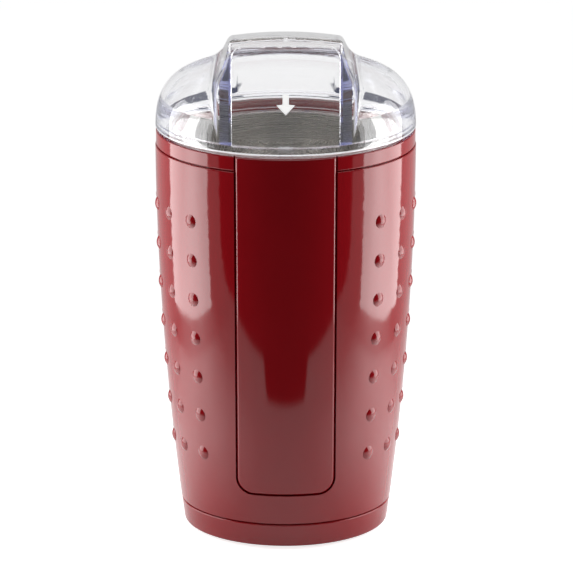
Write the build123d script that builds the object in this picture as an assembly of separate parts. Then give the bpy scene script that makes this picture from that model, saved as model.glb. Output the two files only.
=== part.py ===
"""Electric blade grinder: red tapered body, steel bowl, clear press-to-run lid.

Millimetres. +Z is up, the front looks along -Y, and the origin is on the resting
surface, on the body's axis. Heights named z_... are measured from that surface.
"""
import os
from math import asin, atan, cos, degrees, pi, radians, sin, sqrt, tan

from build123d import *

# ---------------------------------------------------------------- overall sizes
body_height = 148.0        # base cover's lower edge to the rim
rim_radius = 47.4          # body at the rim
base_radius = 37.4         # body's flare carried down to the base
foot_stand = 1.2           # rubber feet below the base cover

# ---------------------------------------------------------------- housing shell
shell_wall = 2.6
base_band_height = 8.4     # visible band of the base cover
base_seam = 0.8            # shadow gap between base cover and shell
collar_height = 5.2        # visible band of the top collar
collar_seam = 0.4          # shadow gap between collar and shell
edge_round = 0.4           # moulded edges of the red parts

# ---------------------------------------------------------------- front panel
panel_top_width = 35.5
panel_foot_width = 34.6
panel_foot = 20.8          # panel's lower edge above the base cover's lower edge
panel_corner = 5.6
panel_wall = 1.9
panel_gap = 0.75           # shadow gap round the panel
panel_seat = 0.1           # clearance behind the panel
panel_edge = 0.45          # rounding of the panel's front edge
pocket_wall = 1.5          # wall behind the panel
pocket_rim = 2.0           # overlap of that wall with the shell, past the gap

# ---------------------------------------------------------------- grip bumps
bump_radius = 2.6
bump_height = 0.9
bump_root = 0.6            # how far a bump reaches into the wall
bump_rows = 7
bump_pitch = 14.7          # between rows
bump_first = 121.4         # top row above the base cover's lower edge
bump_turn = 17.4           # degrees between columns
bump_columns = 6           # on each side

# ---------------------------------------------------------------- top collar
collar_inset = 0.25        # collar's face behind the shell's
collar_seat_width = 1.3    # collar's foot on the shell's upper edge
mouth_wall = 3.8           # rim to the inside of the collar
ledge_depth = 4.0          # bowl ledge below the rim
ledge_thick = 2.2
spigot_length = 6.0
spigot_wall = 1.6
spigot_gap = 0.3           # spigot to shell
frame_angles = (90, 210, 330)   # collar, carrier and shell are screwed together here
pillar_gap = 0.3           # screw pillars to the carrier
boss_radius = 3.2
boss_length = 16.0
pilot_gap = 0.02           # screw to its pilot hole

# ---------------------------------------------------------------- bowl and seals
bowl_radius = 33.5
bowl_wall = 0.6
bowl_depth = 38.0
bowl_corner = 9.0
flange_gap = 0.6           # bowl's flange to the push rod
bowl_flange_roll = 1.0     # height of the flange's turned-down edge
seal_thick = 1.0
ledge_gap = 1.0            # bowl to ledge
bowl_eye = 9.0             # hole for the shaft seal
seal_lip = 1.6             # shaft seal above the bowl's floor
seal_rim = 2.0             # its rims past the eye
seal_skirt = 1.2           # and below the bowl
seal_groove = 1.2          # depth of the groove round the lip on the shaft
seal_groove_width = 2.1
seal_lip_wall = 1.36
pad_inner = 12.0
pad_outer = 16.5
pad_thick = 2.6

# ---------------------------------------------------------------- bowl carrier
carrier_gap = 1.3          # bowl to carrier wall
carrier_wall = 1.8
carrier_floor = 2.6
lug_thick = 3.0
tongue_thick = 2.0
tongue_inner = 25.5        # tongues carry switch and capacitor, this far from the axis
switch_tongue_half = 15.0
switch_tongue_length = 36.0
rear_tongue_half = 11.0
rear_tongue_length = 60.0

# ---------------------------------------------------------------- screws
screw_radius = 1.5
screw_head_radius = 2.6
screw_head_height = 2.0
screw_clear = 0.2          # screw to a through hole
carrier_screw_length = 24.0
base_screw_length = 14.0
pillar_length = 12.0
pillar_radius = 3.4

# ---------------------------------------------------------------- base cover
base_foot_radius = 36.7    # lower edge of the base cover
base_top_inset = 0.35      # base cover's upper edge behind the shell
base_wall = 2.2
base_floor = 2.2
base_round = 1.0
base_spigot = 5.4
base_spigot_gap = 0.3
base_seat_width = 1.4      # base cover's step on the shell's lower edge
screw_angles = (30, 150, 270)
boss_gap = 0.3             # screw bosses to the cover's spigot
base_boss_radius = 3.6
base_boss_height = 4.4
counterbore_depth = 2.2
counterbore_radius = 3.1
web_width = 4.0
vent_count = 16
vent_inner = 9.0
vent_outer = 20.0
vent_width = 2.4
foot_angles = (90, 210, 330)
foot_circle = 28.0
foot_radius = 6.0
foot_sink = 1.2            # foot's seat in the floor
foot_gap = 0.1

# ---------------------------------------------------------------- cord gland
gland_height = 17.0        # gland's axis above the base cover's lower edge
gland_bore = 3.4
gland_neck = 4.8
gland_flange = 6.4
gland_flange_thick = 1.6
gland_pad_radius = 7.6
gland_pad_proud = 0.5
gland_pad_depth = 1.4      # pad's inner face behind the wall's
gland_nose = 2.4
gland_fit = 0.1            # neck to its hole

# ---------------------------------------------------------------- motor
shaft_radius = 3.0
shaft_tip_radius = 2.5
bush_radius = 5.5
bush_length = 7.0
running_gap = 0.04         # shaft to bush
mount_thick = 1.6
mount_radius = 4.0
mount_spread_x = 20.0
mount_spread_y = 9.0
bracket_half_x = 27.0
bracket_half_y = 13.0
bracket_thick = 3.0
bracket_hub = 8.5
bracket_leg = 4.0
bracket_drop = 14.4        # upper bracket's legs
lower_drop = 25.0          # lower bracket's legs
stack_length = 26.0
stack_half_x = 26.0
stack_half_y = 23.0
stack_corner = 8.0
air_gap = 0.6
armature_radius = 14.0
slot_count = 12
slot_width = 2.4
slot_depth = 5.0
slot_lip = 1.2             # core outside the winding bars
winding_gap = 0.05
winding_head = 8.0
winding_radius = 12.6
winding_bore = 4.0
bolt_radius = 2.0
bolt_head = 3.4
bolt_head_height = 2.4
bolt_x = 22.0
pole_half = 9.2
window_half = 17.4
window_low = 10.5
window_high = 18.6
coil_gap = 0.2
coil_head = 4.8
coil_low = 15.3            # coil's face towards the armature, from the axis
commutator_radius = 9.0
commutator_length = 11.0
commutator_bars = 12
commutator_slit = 0.6
commutator_slit_depth = 0.8
commutator_gap = 1.0       # to the winding's head
riser_radius = 10.0
riser_length = 2.0
brush_wide = 6.0
brush_tall = 5.0
brush_length = 9.0
brush_gap = 0.05           # brush to commutator
holder_wall = 0.8
holder_length = 14.0
holder_start = 10.6        # holder's inner end, from the axis
holder_fit = 0.1
spring_wire = 0.25
brush_spring_radius = 1.6
brush_spring_turns = 5
fan_radius = 22.0
fan_height = 8.0
fan_disc = 1.2
fan_hub = 6.5
fan_blades = 12
fan_blade_thick = 1.2
fan_gap = 0.6              # fan to the bolt heads
shaft_end = 0.6            # shaft below the fan

# ---------------------------------------------------------------- blade
blade_span = 27.5          # tip radius
blade_width = 8.0
blade_thick = 1.4
blade_lift = 6.0           # blade above the bowl's floor
blade_tip_length = 8.0
blade_tip_rise = 14.0      # degrees, one tip
blade_tip_fall = 4.2       # degrees, the other tip
blade_edge_turn = 35.0     # degrees, end cut of each tip
hub_radius = 7.5
hub_gap = 0.5              # hub above the shaft seal
nut_radius = 5.0
nut_height = 4.5
nut_shoulder = 2.6         # height of its six flats
nut_crown = 2.6            # radius of its flat top
thread_length = 3.4        # shaft's tip above the blade

# ---------------------------------------------------------------- interlock
press_travel = 0.8
touch_gap = 0.1            # between pieces that push each other
rod_radius = 1.6
rod_room = 0.4             # return spring to the carrier
rod_head_sink = 1.0        # rod's head below the ledge
rod_shoulder_radius = 2.8
rod_shoulder_height = 1.4
rod_foot_height = 2.4
rod_foot_half = 2.4
guide_height = 5.0
guide_half = 3.6
guide_rim = 0.2            # guide past the spring
guide_gap = 0.06
spring_length = 12.0
spring_coil = 2.3
spring_thread = 0.3
spring_turns = 7
switch_half = 13.9
switch_tall = 15.9
switch_deep = 10.3
switch_screw_spread = 11.1
switch_drop = 17.0         # carrier's floor to the switch's top
tag_length = 6.0           # switch's connecting blades
tag_half = 2.4
tag_thick = 0.8
tag_spread = 9.0
sunk_head = 1.6            # flat heads of the switch's and the motor's screws
plunger_radius = 1.8
plunger_proud = 1.7
plunger_socket = 3.0
plunger_gap = 0.1

# ---------------------------------------------------------------- wiring
cap_half = 9.0
cap_deep = 8.5
cap_tall = 14.5
cap_foot = 6.0             # above the stack's lower end
cap_leg = 0.4
cap_leg_spread = 7.5
cap_leg_length = 3.0
terminal_half = 10.0
terminal_deep = 9.0
terminal_tall = 10.0
terminal_bore = 1.6
terminal_spread = 5.0
terminal_depth = 3.0       # of its two holes
lead_radius = 0.9

# ---------------------------------------------------------------- lid
lid_gap = 1.1              # lid's lower edge above the rim, at rest
lid_inset = 0.1            # lid's face behind the rim
lid_wall = 2.2
dome_height = 23.3         # above the rim
dome_side = 5.56           # exponent: how square the dome's shoulder is outwards
dome_crown = 2.53          # exponent: how square it is upwards
dome_steps = 14
lid_foot_thick = 2.0
skirt_gap = 0.4            # lid skirt to collar mouth
skirt_wall = 1.8
skirt_floor_gap = 0.4      # skirt above the ledge, lid pressed
tab_half = 2.6
tab_gap = 0.4
block_height = 44.1        # thumb block's front edge above the rim
block_crown = 1.5
block_top_half = 20.3
block_foot_half = 25.5     # below the flare of its sides
block_flare_foot = 21.5    # lower end of that flare, above the rim
block_flare_radius = 27.5  # upper, hollow part of that flare
block_flare_slope = 5.0    # degrees, down towards the rear
block_slope = 9.6          # the same for its top
block_lean = 2.1           # front face leans back by this much
block_bend_y = 4.0         # where the top starts to curve down
block_bend_radius = 45.0
block_bend_end = 45.0      # degrees
block_back = 33.0          # inside the dome
block_reach = 40.0         # half width of the roof that its sides are cut from
arch_half = 18.5           # opening between the ribs
arch_corner = 5.5
rib_half = 22.0
rib_depth = 6.0

# ---------------------------------------------------------------- derived heights
z_base = foot_stand
z_rim = z_base + body_height
z_band_top = z_base + base_band_height
z_shell_foot = z_band_top + base_seam
z_collar = z_rim - collar_height
z_shell_top = z_collar - collar_seam
z_ledge = z_rim - ledge_depth
z_ledge_under = z_ledge - ledge_thick
z_flange = z_ledge + seal_thick
z_bowl_floor = z_flange + bowl_wall - bowl_depth
z_bowl_under = z_bowl_floor - bowl_wall
z_carrier = z_bowl_under - pad_thick
z_carrier_under = z_carrier - carrier_floor
z_bracket = z_carrier_under - mount_thick
z_stack_top = z_bracket - bracket_thick - bracket_drop
z_stack_foot = z_stack_top - stack_length
z_lower_plate = z_stack_foot - lower_drop
z_fan = z_lower_plate - bracket_thick - bolt_head_height - fan_gap
z_boss_foot = z_ledge_under - boss_length
z_lug_under = z_boss_foot - lug_thick
z_pillar_foot = z_lug_under - pillar_length
z_commutator = z_stack_foot - winding_head - commutator_gap
z_brush = z_commutator - riser_length - 0.5 * (commutator_length - riser_length)
z_base_floor = z_base + base_floor
z_gland = z_base + gland_height
z_blade = z_bowl_floor + blade_lift
z_rod_top = z_ledge - rod_head_sink
z_guide_top = z_lug_under
z_rod_shoulder = z_guide_top + spring_length
z_switch_top = z_carrier_under - switch_drop
z_rod_foot = z_switch_top + plunger_proud + touch_gap
z_lid = z_rim + lid_gap
z_skirt = z_ledge + press_travel + skirt_floor_gap
z_tab = z_rod_top + touch_gap
z_rear_tongue = z_carrier_under - rear_tongue_length

shaft_bore = shaft_radius + running_gap
flare_radius = (body_height**2 + (rim_radius - base_radius)**2) / (2 * (rim_radius - base_radius))
pocket_depth = panel_wall + panel_seat
panel_half_slope = 0.5 * (panel_top_width - panel_foot_width) / (body_height - panel_foot)
ledge_radius = bowl_radius + bowl_wall + ledge_gap
carrier_radius = bowl_radius + bowl_wall + carrier_gap
carrier_outer = carrier_radius + carrier_wall
frame_circle = carrier_outer + pillar_gap + pillar_radius
rod_offset = carrier_outer + rod_room + spring_coil + spring_thread
guide_reach = rod_offset + spring_coil + spring_thread + guide_rim
bowl_flange = rod_offset - rod_radius - flange_gap
mouth_radius = rim_radius - mouth_wall
lid_radius = rim_radius - lid_inset
block_front = lid_radius - block_lean
tongue_outer = tongue_inner + tongue_thick
switch_front = tongue_outer + switch_deep


def body_radius(z):
    """Radius of the body's flare: one large arc, upright at the rim."""
    return rim_radius - flare_radius + sqrt(flare_radius**2 - (z_rim - z)**2)


base_spigot_outer = body_radius(z_shell_foot) - shell_wall - base_spigot_gap
base_spigot_inner = base_spigot_outer - spigot_wall
screw_circle = base_spigot_inner - boss_gap - base_boss_radius
gland_pad_inner = body_radius(z_gland - gland_pad_radius) - shell_wall - gland_pad_depth


# ---------------------------------------------------------------- shared shapes

def flare_arc(z0, z1, inset):
    """The flare between two heights, moved inwards."""
    middle = 0.5 * (z0 + z1)
    points = [(body_radius(z) - inset, z) for z in (z0, middle, z1)]
    return ThreePointArc(*points)


def flared_shell(z0, z1, inset, depth):
    """Wall that follows the flare, from one inset to a deeper one."""
    outer = flare_arc(z0, z1, inset)
    inner = flare_arc(z0, z1, depth)
    ends = [Line(outer @ 0, inner @ 0), Line(outer @ 1, inner @ 1)]
    return revolve(Plane.XZ * make_face([outer, inner, *ends]), Axis.Z)


def flared_ring(z0, z1, inset, inner_radius):
    """Ring with a flared outside and a straight bore."""
    outer = flare_arc(z0, z1, inset)
    inside = Polyline(outer @ 1, (inner_radius, z1), (inner_radius, z0), outer @ 0)
    return revolve(Plane.XZ * make_face([outer, inside]), Axis.Z)


def rod(radius, z0, z1, x=0.0, y=0.0):
    """Upright cylinder between two heights."""
    low = (Align.CENTER, Align.CENTER, Align.MIN)
    return Pos(x, y, z0) * Cylinder(radius, z1 - z0, align=low)


def tube(outer, inner, z0, z1, x=0.0, y=0.0):
    """Upright tube between two heights."""
    return rod(outer, z0, z1, x, y) - rod(inner, z0 - 1, z1 + 1, x, y)


def bar(x0, x1, y0, y1, z0, z1):
    """Rectangular block from its limits."""
    centre = Pos(0.5 * (x0 + x1), 0.5 * (y0 + y1), 0.5 * (z0 + z1))
    return centre * Box(x1 - x0, y1 - y0, z1 - z0)


def outer_edge(shape, z):
    """Largest circular edge at a height."""
    return shape.edges().filter_by_position(Axis.Z, z - 0.01, z + 0.01).sort_by(SortBy.RADIUS)[-1]


def turned(*points):
    """Solid of revolution about Z from an outline of (radius, z) points."""
    return revolve(Plane.XZ * make_face(Polyline(*points, close=True)), Axis.Z)


def around(angle, radius, z=0.0):
    """Place at an angle about Z, its local X pointing outwards."""
    return Rot(0, 0, angle) * Pos(radius, 0, z)


def polar(angle, radius):
    """Point on a circle about Z."""
    return radius * cos(radians(angle)), radius * sin(radians(angle))


def screw(z_head, length):
    """Screw pointing up, its head's lower face at z_head: head, then shank."""
    head = rod(screw_head_radius, z_head, z_head + screw_head_height)
    head = chamfer(head.edges().group_by(Axis.Z)[0], 0.4)
    return head + rod(screw_radius, z_head + screw_head_height, z_head + screw_head_height + length)


def coil_spring(radius, wire, length, turns):
    """Helical spring standing on the origin, its wire's ends inside its length."""
    pitch = (length - 2 * wire) / turns
    path = Pos(0, 0, wire) * Helix(pitch, length - 2 * wire, radius)
    section = Plane(origin=path @ 0, z_dir=path % 0) * Circle(wire)
    return sweep(section, path=path)


def clear_of_shell(shape):
    """A screw boss or lug, cut back where it would touch the shell's wall."""
    return shape & rod(body_radius(z_lug_under) - shell_wall - spigot_gap, z_lug_under - 1, z_rim)


def panel_outline(grow, z_top):
    """Panel's front view, widening upwards, with two round lower corners."""
    z_foot = z_base + panel_foot - grow
    foot_half = 0.5 * panel_foot_width + grow
    top_half = foot_half + panel_half_slope * (z_top - z_foot)
    corners = [(-foot_half, z_foot), (foot_half, z_foot), (top_half, z_top), (-top_half, z_top)]
    outline = make_face(Polyline(*corners, close=True))
    return fillet(outline.vertices().group_by(Axis.Y)[0], panel_corner + grow)


def panel_prism(grow, z_top):
    """The panel's outline as a block that reaches out of the body's front."""
    return extrude(Plane.XZ * panel_outline(grow, z_top), rim_radius + 10)


# ---------------------------------------------------------------- red body
def grip_bump():
    """Low domed bump on a short root, along +X from the wall's surface."""
    ball = (bump_radius**2 + bump_height**2) / (2 * bump_height)
    rise = ThreePointArc((bump_height, 0), *bump_arc_points(ball))
    root = Polyline(rise @ 1, (-bump_root, bump_radius), (-bump_root, 0), rise @ 0)
    return revolve(make_face([rise, root]), Axis.X)


def bump_arc_points(ball):
    """Middle and foot of a bump's arc, which is part of a circle of radius ball."""
    half = 0.5 * asin(bump_radius / ball)
    middle = (ball * cos(half) - ball + bump_height, ball * sin(half))
    return middle, (0, bump_radius)


def bump_places():
    """Places of all bumps, each turned to stand square on the flare."""
    places = []
    for side in (0, 180):
        for column in range(bump_columns):
            turn = side + bump_turn * (column - 0.5 * (bump_columns - 1))
            for row in range(bump_rows):
                z = z_base + bump_first - row * bump_pitch
                tilt = degrees(asin((z_rim - z) / flare_radius))
                places.append(around(turn, body_radius(z), z) * Rot(0, tilt, 0))
    return places


def screw_pillar(angle, circle, radius, z0, z1):
    """Screw pillar inside the shell, joined to its wall by a web."""
    x, y = polar(angle, circle)
    reach = body_radius(max(z0, z_shell_foot)) - shell_wall + 1.0
    web = around(angle, 0) * bar(circle, reach, -0.5 * web_width, 0.5 * web_width,
                                 max(z0, z_shell_foot + 0.6), z1)
    return rod(radius, z0, z1, x, y) + web


def housing_shell():
    """Tapered red shell with its panel pocket, grip bumps, pillars and gland hole."""
    shell = flared_shell(z_shell_foot, z_shell_top, 0, shell_wall)
    shell = fillet(outer_edge(shell, z_shell_top), edge_round)
    bump = grip_bump()
    shell = shell + [place * bump for place in bump_places()]
    shell = shell - (flared_shell(z_shell_foot, z_rim, -2, pocket_depth) & panel_prism(panel_gap, z_rim))
    pocket = flared_shell(z_shell_foot, z_ledge_under, pocket_depth, pocket_depth + pocket_wall)
    shell = shell + (pocket & panel_prism(panel_gap + pocket_rim, z_rim))
    for angle in frame_angles:
        shell = shell + screw_pillar(angle, frame_circle, pillar_radius, z_pillar_foot, z_lug_under)
        x, y = polar(angle, frame_circle)
        shell = shell - rod(screw_radius + screw_clear, z_pillar_foot - 1, z_lug_under + 1, x, y)
    z_boss = z_base_floor + base_boss_height
    for angle in screw_angles:
        z_end = z_boss + base_screw_length + 2
        x, y = polar(angle, screw_circle)
        shell = shell + screw_pillar(angle, screw_circle, base_boss_radius, z_boss, z_end)
        shell = shell - rod(screw_radius + pilot_gap, z_boss - 1, z_end - 2, x, y)
    shell = shell + gland_pad()
    return shell - gland_axis() * Cylinder(gland_neck + gland_fit, 40)


def gland_axis():
    """Local Z along the gland's axis, which points to the rear."""
    return Pos(0, body_radius(z_gland), z_gland) * Rot(-90, 0, 0)


def gland_pad():
    """Flat round pad on the rear wall for the cord gland."""
    outer = body_radius(z_gland + gland_pad_radius) + gland_pad_proud
    middle = Pos(0, 0.5 * (outer + gland_pad_inner), z_gland) * Rot(-90, 0, 0)
    return middle * Cylinder(gland_pad_radius, outer - gland_pad_inner)


def front_panel():
    """Glossy inlay that follows the flare, with a rounded front edge."""
    plate = flared_shell(z_shell_foot, z_rim, 0, panel_wall) & panel_prism(0, z_rim)
    front = plate.faces().sort_by(SortBy.AREA)[-1]
    return fillet(front.edges(), panel_edge)


def top_collar():
    """Red ring at the rim with the bowl's ledge, a spigot and three screw bosses."""
    ring = flared_ring(z_collar, z_rim, collar_inset, mouth_radius)
    ring = fillet([outer_edge(ring, z_collar), outer_edge(ring, z_rim)], edge_round)
    spigot_outer = body_radius(z_ledge_under) - shell_wall - spigot_gap
    seat_outer = spigot_outer + spigot_gap + collar_seat_width
    ring = ring + tube(seat_outer, mouth_radius, z_shell_top, z_collar)
    ring = ring + tube(spigot_outer, ledge_radius, z_ledge_under, z_ledge)
    spigot = tube(spigot_outer, spigot_outer - spigot_wall, z_ledge_under - spigot_length, z_ledge_under)
    front_half = 0.5 * panel_top_width + panel_gap + pocket_rim + 1.0
    spigot = spigot - bar(-front_half, front_half, -60, 0, z_collar - 20, z_ledge_under)
    pocket = flared_shell(z_shell_foot, z_rim + 1e-3, -2, pocket_depth)
    ring = ring + spigot - (pocket & panel_prism(panel_gap, z_rim + 1))
    for angle in frame_angles:
        x, y = polar(angle, frame_circle)
        ring = ring + clear_of_shell(rod(boss_radius, z_boss_foot, z_ledge_under, x, y))
        ring = ring - rod(screw_radius + pilot_gap, z_boss_foot - 1, z_ledge_under - 3, x, y)
    return ring - tab_slot()


def tab_slot():
    """Slot in the ledge for the lid's tab and the rod's head."""
    half = tab_half + tab_gap
    inner = rod_offset - rod_radius - tab_gap
    return bar(-half, half, -(mouth_radius - skirt_gap), -inner, z_ledge_under - 1, z_ledge + 1)


def base_cover():
    """Red cup that closes the body from below: vents, foot seats, screw bosses."""
    top_radius = body_radius(z_band_top) - base_top_inset
    floor_radius = base_foot_radius - base_wall
    cup = turned((0, z_base), (base_foot_radius, z_base), (top_radius, z_band_top),
                 (top_radius - base_wall, z_band_top), (floor_radius, z_base_floor), (0, z_base_floor))
    cup = fillet(cup.edges().group_by(Axis.Z)[0], base_round)
    seat_outer = base_spigot_outer + base_spigot_gap + base_seat_width
    cup = cup + tube(seat_outer, base_spigot_inner, z_band_top - 1, z_shell_foot)
    spigot = tube(base_spigot_outer, base_spigot_inner, z_shell_foot, z_shell_foot + base_spigot)
    spigot = spigot - gland_axis() * Cylinder(gland_pad_radius + 1, 40)
    for angle in screw_angles:
        notch = 0.5 * web_width + 0.5
        spigot = spigot - around(angle, 0) * bar(0, 60, -notch, notch, z_shell_foot, z_rim)
    cup = cup + spigot
    for angle in screw_angles:
        x, y = polar(angle, screw_circle)
        cup = cup + rod(base_boss_radius + 0.4, z_base_floor, z_base_floor + base_boss_height, x, y)
        cup = cup - rod(screw_radius + screw_clear, z_base - 1, z_rim, x, y)
        cup = cup - rod(counterbore_radius, z_base - 1, z_base + counterbore_depth, x, y)
    for number in range(vent_count):
        slot = extrude(SlotOverall(vent_outer - vent_inner, vent_width), 20, both=True)
        cup = cup - around(360 / vent_count * number, 0.5 * (vent_inner + vent_outer)) * slot
    for angle in foot_angles:
        cup = cup - rod(foot_radius + foot_gap, z_base - 1, z_base + foot_sink, *polar(angle, foot_circle))
    return cup


def base_feet():
    """Three rubber feet set into the base cover's floor."""
    foot = rod(foot_radius, 0, z_base + foot_sink)
    foot = fillet(foot.edges().group_by(Axis.Z)[0], 0.5)
    return [Pos(*polar(angle, foot_circle)) * foot for angle in foot_angles]


def base_screws():
    """Three screws through the base cover into the shell's bosses."""
    z_head = z_base + counterbore_depth - screw_head_height
    length = base_screw_length + base_floor + base_boss_height - counterbore_depth - 2
    return [Pos(*polar(angle, screw_circle)) * screw(z_head, length) for angle in screw_angles]


def cord_gland():
    """Moulded gland in the rear wall: two flanges, a neck and a tapered nose."""
    pad_face = body_radius(z_gland + gland_pad_radius) + gland_pad_proud
    inner = gland_pad_inner - gland_flange_thick
    outer = pad_face + gland_flange_thick
    nose = outer + gland_nose
    outline = [(gland_bore, inner), (gland_flange, inner), (gland_flange, gland_pad_inner),
               (gland_neck, gland_pad_inner), (gland_neck, pad_face), (gland_flange, pad_face),
               (gland_flange, outer), (gland_neck, nose), (gland_bore, nose)]
    body = revolve(make_face(Polyline(*outline, close=True)), Axis.Y)
    return Pos(0, 0, z_gland) * body


# ---------------------------------------------------------------- bowl
def grinding_bowl():
    """Drawn steel cup with a rolled flange and an eye for the shaft seal."""
    outer = bowl_radius + bowl_wall
    z_top = z_flange + bowl_wall
    lip = bowl_flange
    outline = Polyline((bowl_eye, z_bowl_under), (outer, z_bowl_under), (outer, z_flange),
                       (lip - bowl_wall, z_flange), (lip - bowl_wall, z_flange - bowl_flange_roll),
                       (lip, z_flange - bowl_flange_roll), (lip, z_top), (bowl_radius, z_top),
                       (bowl_radius, z_bowl_floor), (bowl_eye, z_bowl_floor), close=True)
    section = make_face(outline)
    low = [v for v in section.vertices() if v.X > bowl_radius - 1 and v.Y < z_bowl_floor + 1]
    section = fillet([v for v in low if v.Y > z_bowl_under + 0.1], bowl_corner)
    low = [v for v in section.vertices() if v.X > outer - 0.1 and v.Y < z_bowl_under + 0.1]
    section = fillet(low, bowl_corner + bowl_wall)
    return revolve(Plane.XZ * section, Axis.Z)


def bowl_seal():
    """Flat rubber ring between the bowl's flange and the collar's ledge."""
    inner = ledge_radius + 0.3
    outer = bowl_flange - bowl_wall - 0.2
    return tube(outer, inner, z_ledge, z_flange)


def bowl_pad():
    """Rubber ring under the bowl, on the carrier's floor."""
    return tube(pad_outer, pad_inner, z_carrier, z_bowl_under)


def shaft_seal():
    """Rubber lip seal held in the bowl's eye: a grooved rim and a lip on the shaft."""
    wide = bowl_eye + seal_rim
    inner = shaft_bore + seal_lip_wall
    seal = tube(wide, shaft_bore, z_bowl_floor, z_bowl_floor + seal_lip)
    seal = seal + tube(bowl_eye, shaft_bore, z_bowl_under, z_bowl_floor)
    seal = seal + tube(wide, shaft_bore, z_bowl_under - seal_skirt, z_bowl_under)
    z_groove = z_bowl_floor + seal_lip - seal_groove
    return seal - tube(inner + seal_groove_width, inner, z_groove, z_bowl_floor + seal_lip + 1)


def bowl_carrier():
    """Inner frame: a cup round the bowl, three lugs, a rod guide and two tongues."""
    cup = tube(carrier_outer, carrier_radius, z_carrier_under, z_boss_foot)
    cup = cup + tube(carrier_outer, bush_radius + 4, z_carrier_under, z_carrier)
    for angle in frame_angles:
        x, y = polar(angle, frame_circle)
        lug = rod(boss_radius, z_lug_under, z_boss_foot, x, y)
        lug = lug + around(angle, 0) * bar(carrier_radius + 0.4, frame_circle, -boss_radius, boss_radius,
                                           z_lug_under, z_boss_foot)
        cup = cup + clear_of_shell(lug) - rod(screw_radius + screw_clear, z_lug_under - 1, z_rim, x, y)
    guide = bar(-guide_half, guide_half, -guide_reach, -carrier_radius - 0.4,
                z_guide_top - guide_height, z_guide_top)
    cup = cup + guide - rod(rod_radius + guide_gap, z_carrier, z_rim, 0, -rod_offset)
    cup = cup + bar(-switch_tongue_half, switch_tongue_half, -tongue_outer, -tongue_inner,
                    z_carrier_under - switch_tongue_length, z_carrier_under)
    cup = cup + bar(-rear_tongue_half, rear_tongue_half, tongue_inner, tongue_outer,
                    z_rear_tongue, z_carrier_under)
    for x in (-switch_screw_spread, switch_screw_spread):
        hole = Pos(x, -tongue_inner, z_switch_top - 0.5 * switch_tall) * Rot(90, 0, 0)
        cup = cup - hole * Cylinder(screw_radius + pilot_gap, 3 * tongue_thick)
    for x, y in mount_points():
        cup = cup - rod(screw_radius + screw_clear, z_carrier_under - 1, z_carrier + 1, x, y)
    return cup


def carrier_screws():
    """Three screws up through shell pillars and carrier lugs into the collar."""
    z_head = z_pillar_foot - screw_head_height
    return [Pos(*polar(angle, frame_circle)) * screw(z_head, carrier_screw_length)
            for angle in frame_angles]


# ---------------------------------------------------------------- motor, fixed part
def mount_points():
    """Where the motor hangs from the carrier's floor."""
    return [(x, y) for x in (-mount_spread_x, mount_spread_x) for y in (-mount_spread_y, mount_spread_y)]


def motor_mounts():
    """Rubber washers between the motor's upper bracket and the carrier."""
    washer = tube(mount_radius, screw_radius + screw_clear, z_bracket, z_carrier_under)
    return [Pos(x, y, 0) * washer for x, y in mount_points()]


def motor_screws():
    """Screws down through the carrier's floor into the motor's upper bracket."""
    head = rod(screw_head_radius, z_carrier, z_carrier + sunk_head)
    one = head + rod(screw_radius, z_bracket - bracket_thick, z_carrier)
    return [Pos(x, y, 0) * one for x, y in mount_points()]


def upper_bracket():
    """Cast bridge over the stator with the upper bush's hub and two legs."""
    z_plate = z_bracket - bracket_thick
    plate = bar(-bracket_half_x, bracket_half_x, -bracket_half_y, bracket_half_y, z_plate, z_bracket)
    plate = fillet(plate.edges().filter_by(Axis.Z), 4)
    plate = plate + rod(bracket_hub, z_bracket - bush_length, z_bracket + mount_thick)
    for x in (-bolt_x, bolt_x):
        plate = plate + rod(bracket_leg, z_stack_top, z_plate, x, 0)
        plate = plate - rod(bolt_radius + pilot_gap, z_stack_top - 1, z_plate, x, 0)
    for x, y in mount_points():
        plate = plate - rod(screw_radius + pilot_gap, z_plate - 1, z_bracket + 1, x, y)
    return plate - rod(bush_radius, z_bracket - bush_length - 1, z_bracket + 5)


def lower_bracket():
    """Cast bridge under the stator with the lower bush's hub and two legs."""
    z_plate = z_lower_plate - bracket_thick
    plate = bar(-bracket_half_x, bracket_half_x, -bracket_half_y, bracket_half_y, z_plate, z_lower_plate)
    plate = fillet(plate.edges().filter_by(Axis.Z), 4)
    plate = plate + rod(bracket_hub, z_lower_plate, z_plate + bush_length)
    for x in (-bolt_x, bolt_x):
        plate = plate + rod(bracket_leg, z_lower_plate, z_stack_foot, x, 0)
        plate = plate - rod(bolt_radius + 0.1, z_plate - 1, z_stack_foot + 1, x, 0)
    for side in (1, -1):
        plate = plate + brush_post(side)
    return plate - rod(bush_radius, z_plate - 1, z_lower_plate + 5)


def brush_post(side):
    """Post on the lower bracket that carries one brush holder."""
    foot = z_lower_plate
    top = z_brush - 0.5 * brush_tall - holder_fit - holder_wall
    near, far = bracket_half_y - 3, bracket_half_y
    y0, y1 = sorted((side * near, side * far))
    return bar(-4, 4, y0, y1, foot, top)


def bearing_bushes():
    """Two sintered bushes, in the upper and the lower bracket."""
    z_low = z_lower_plate - bracket_thick
    low = tube(bush_radius, shaft_bore, z_low, z_low + bush_length)
    high = tube(bush_radius, shaft_bore, z_bracket - bush_length, z_bracket)
    return [low, high]


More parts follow.
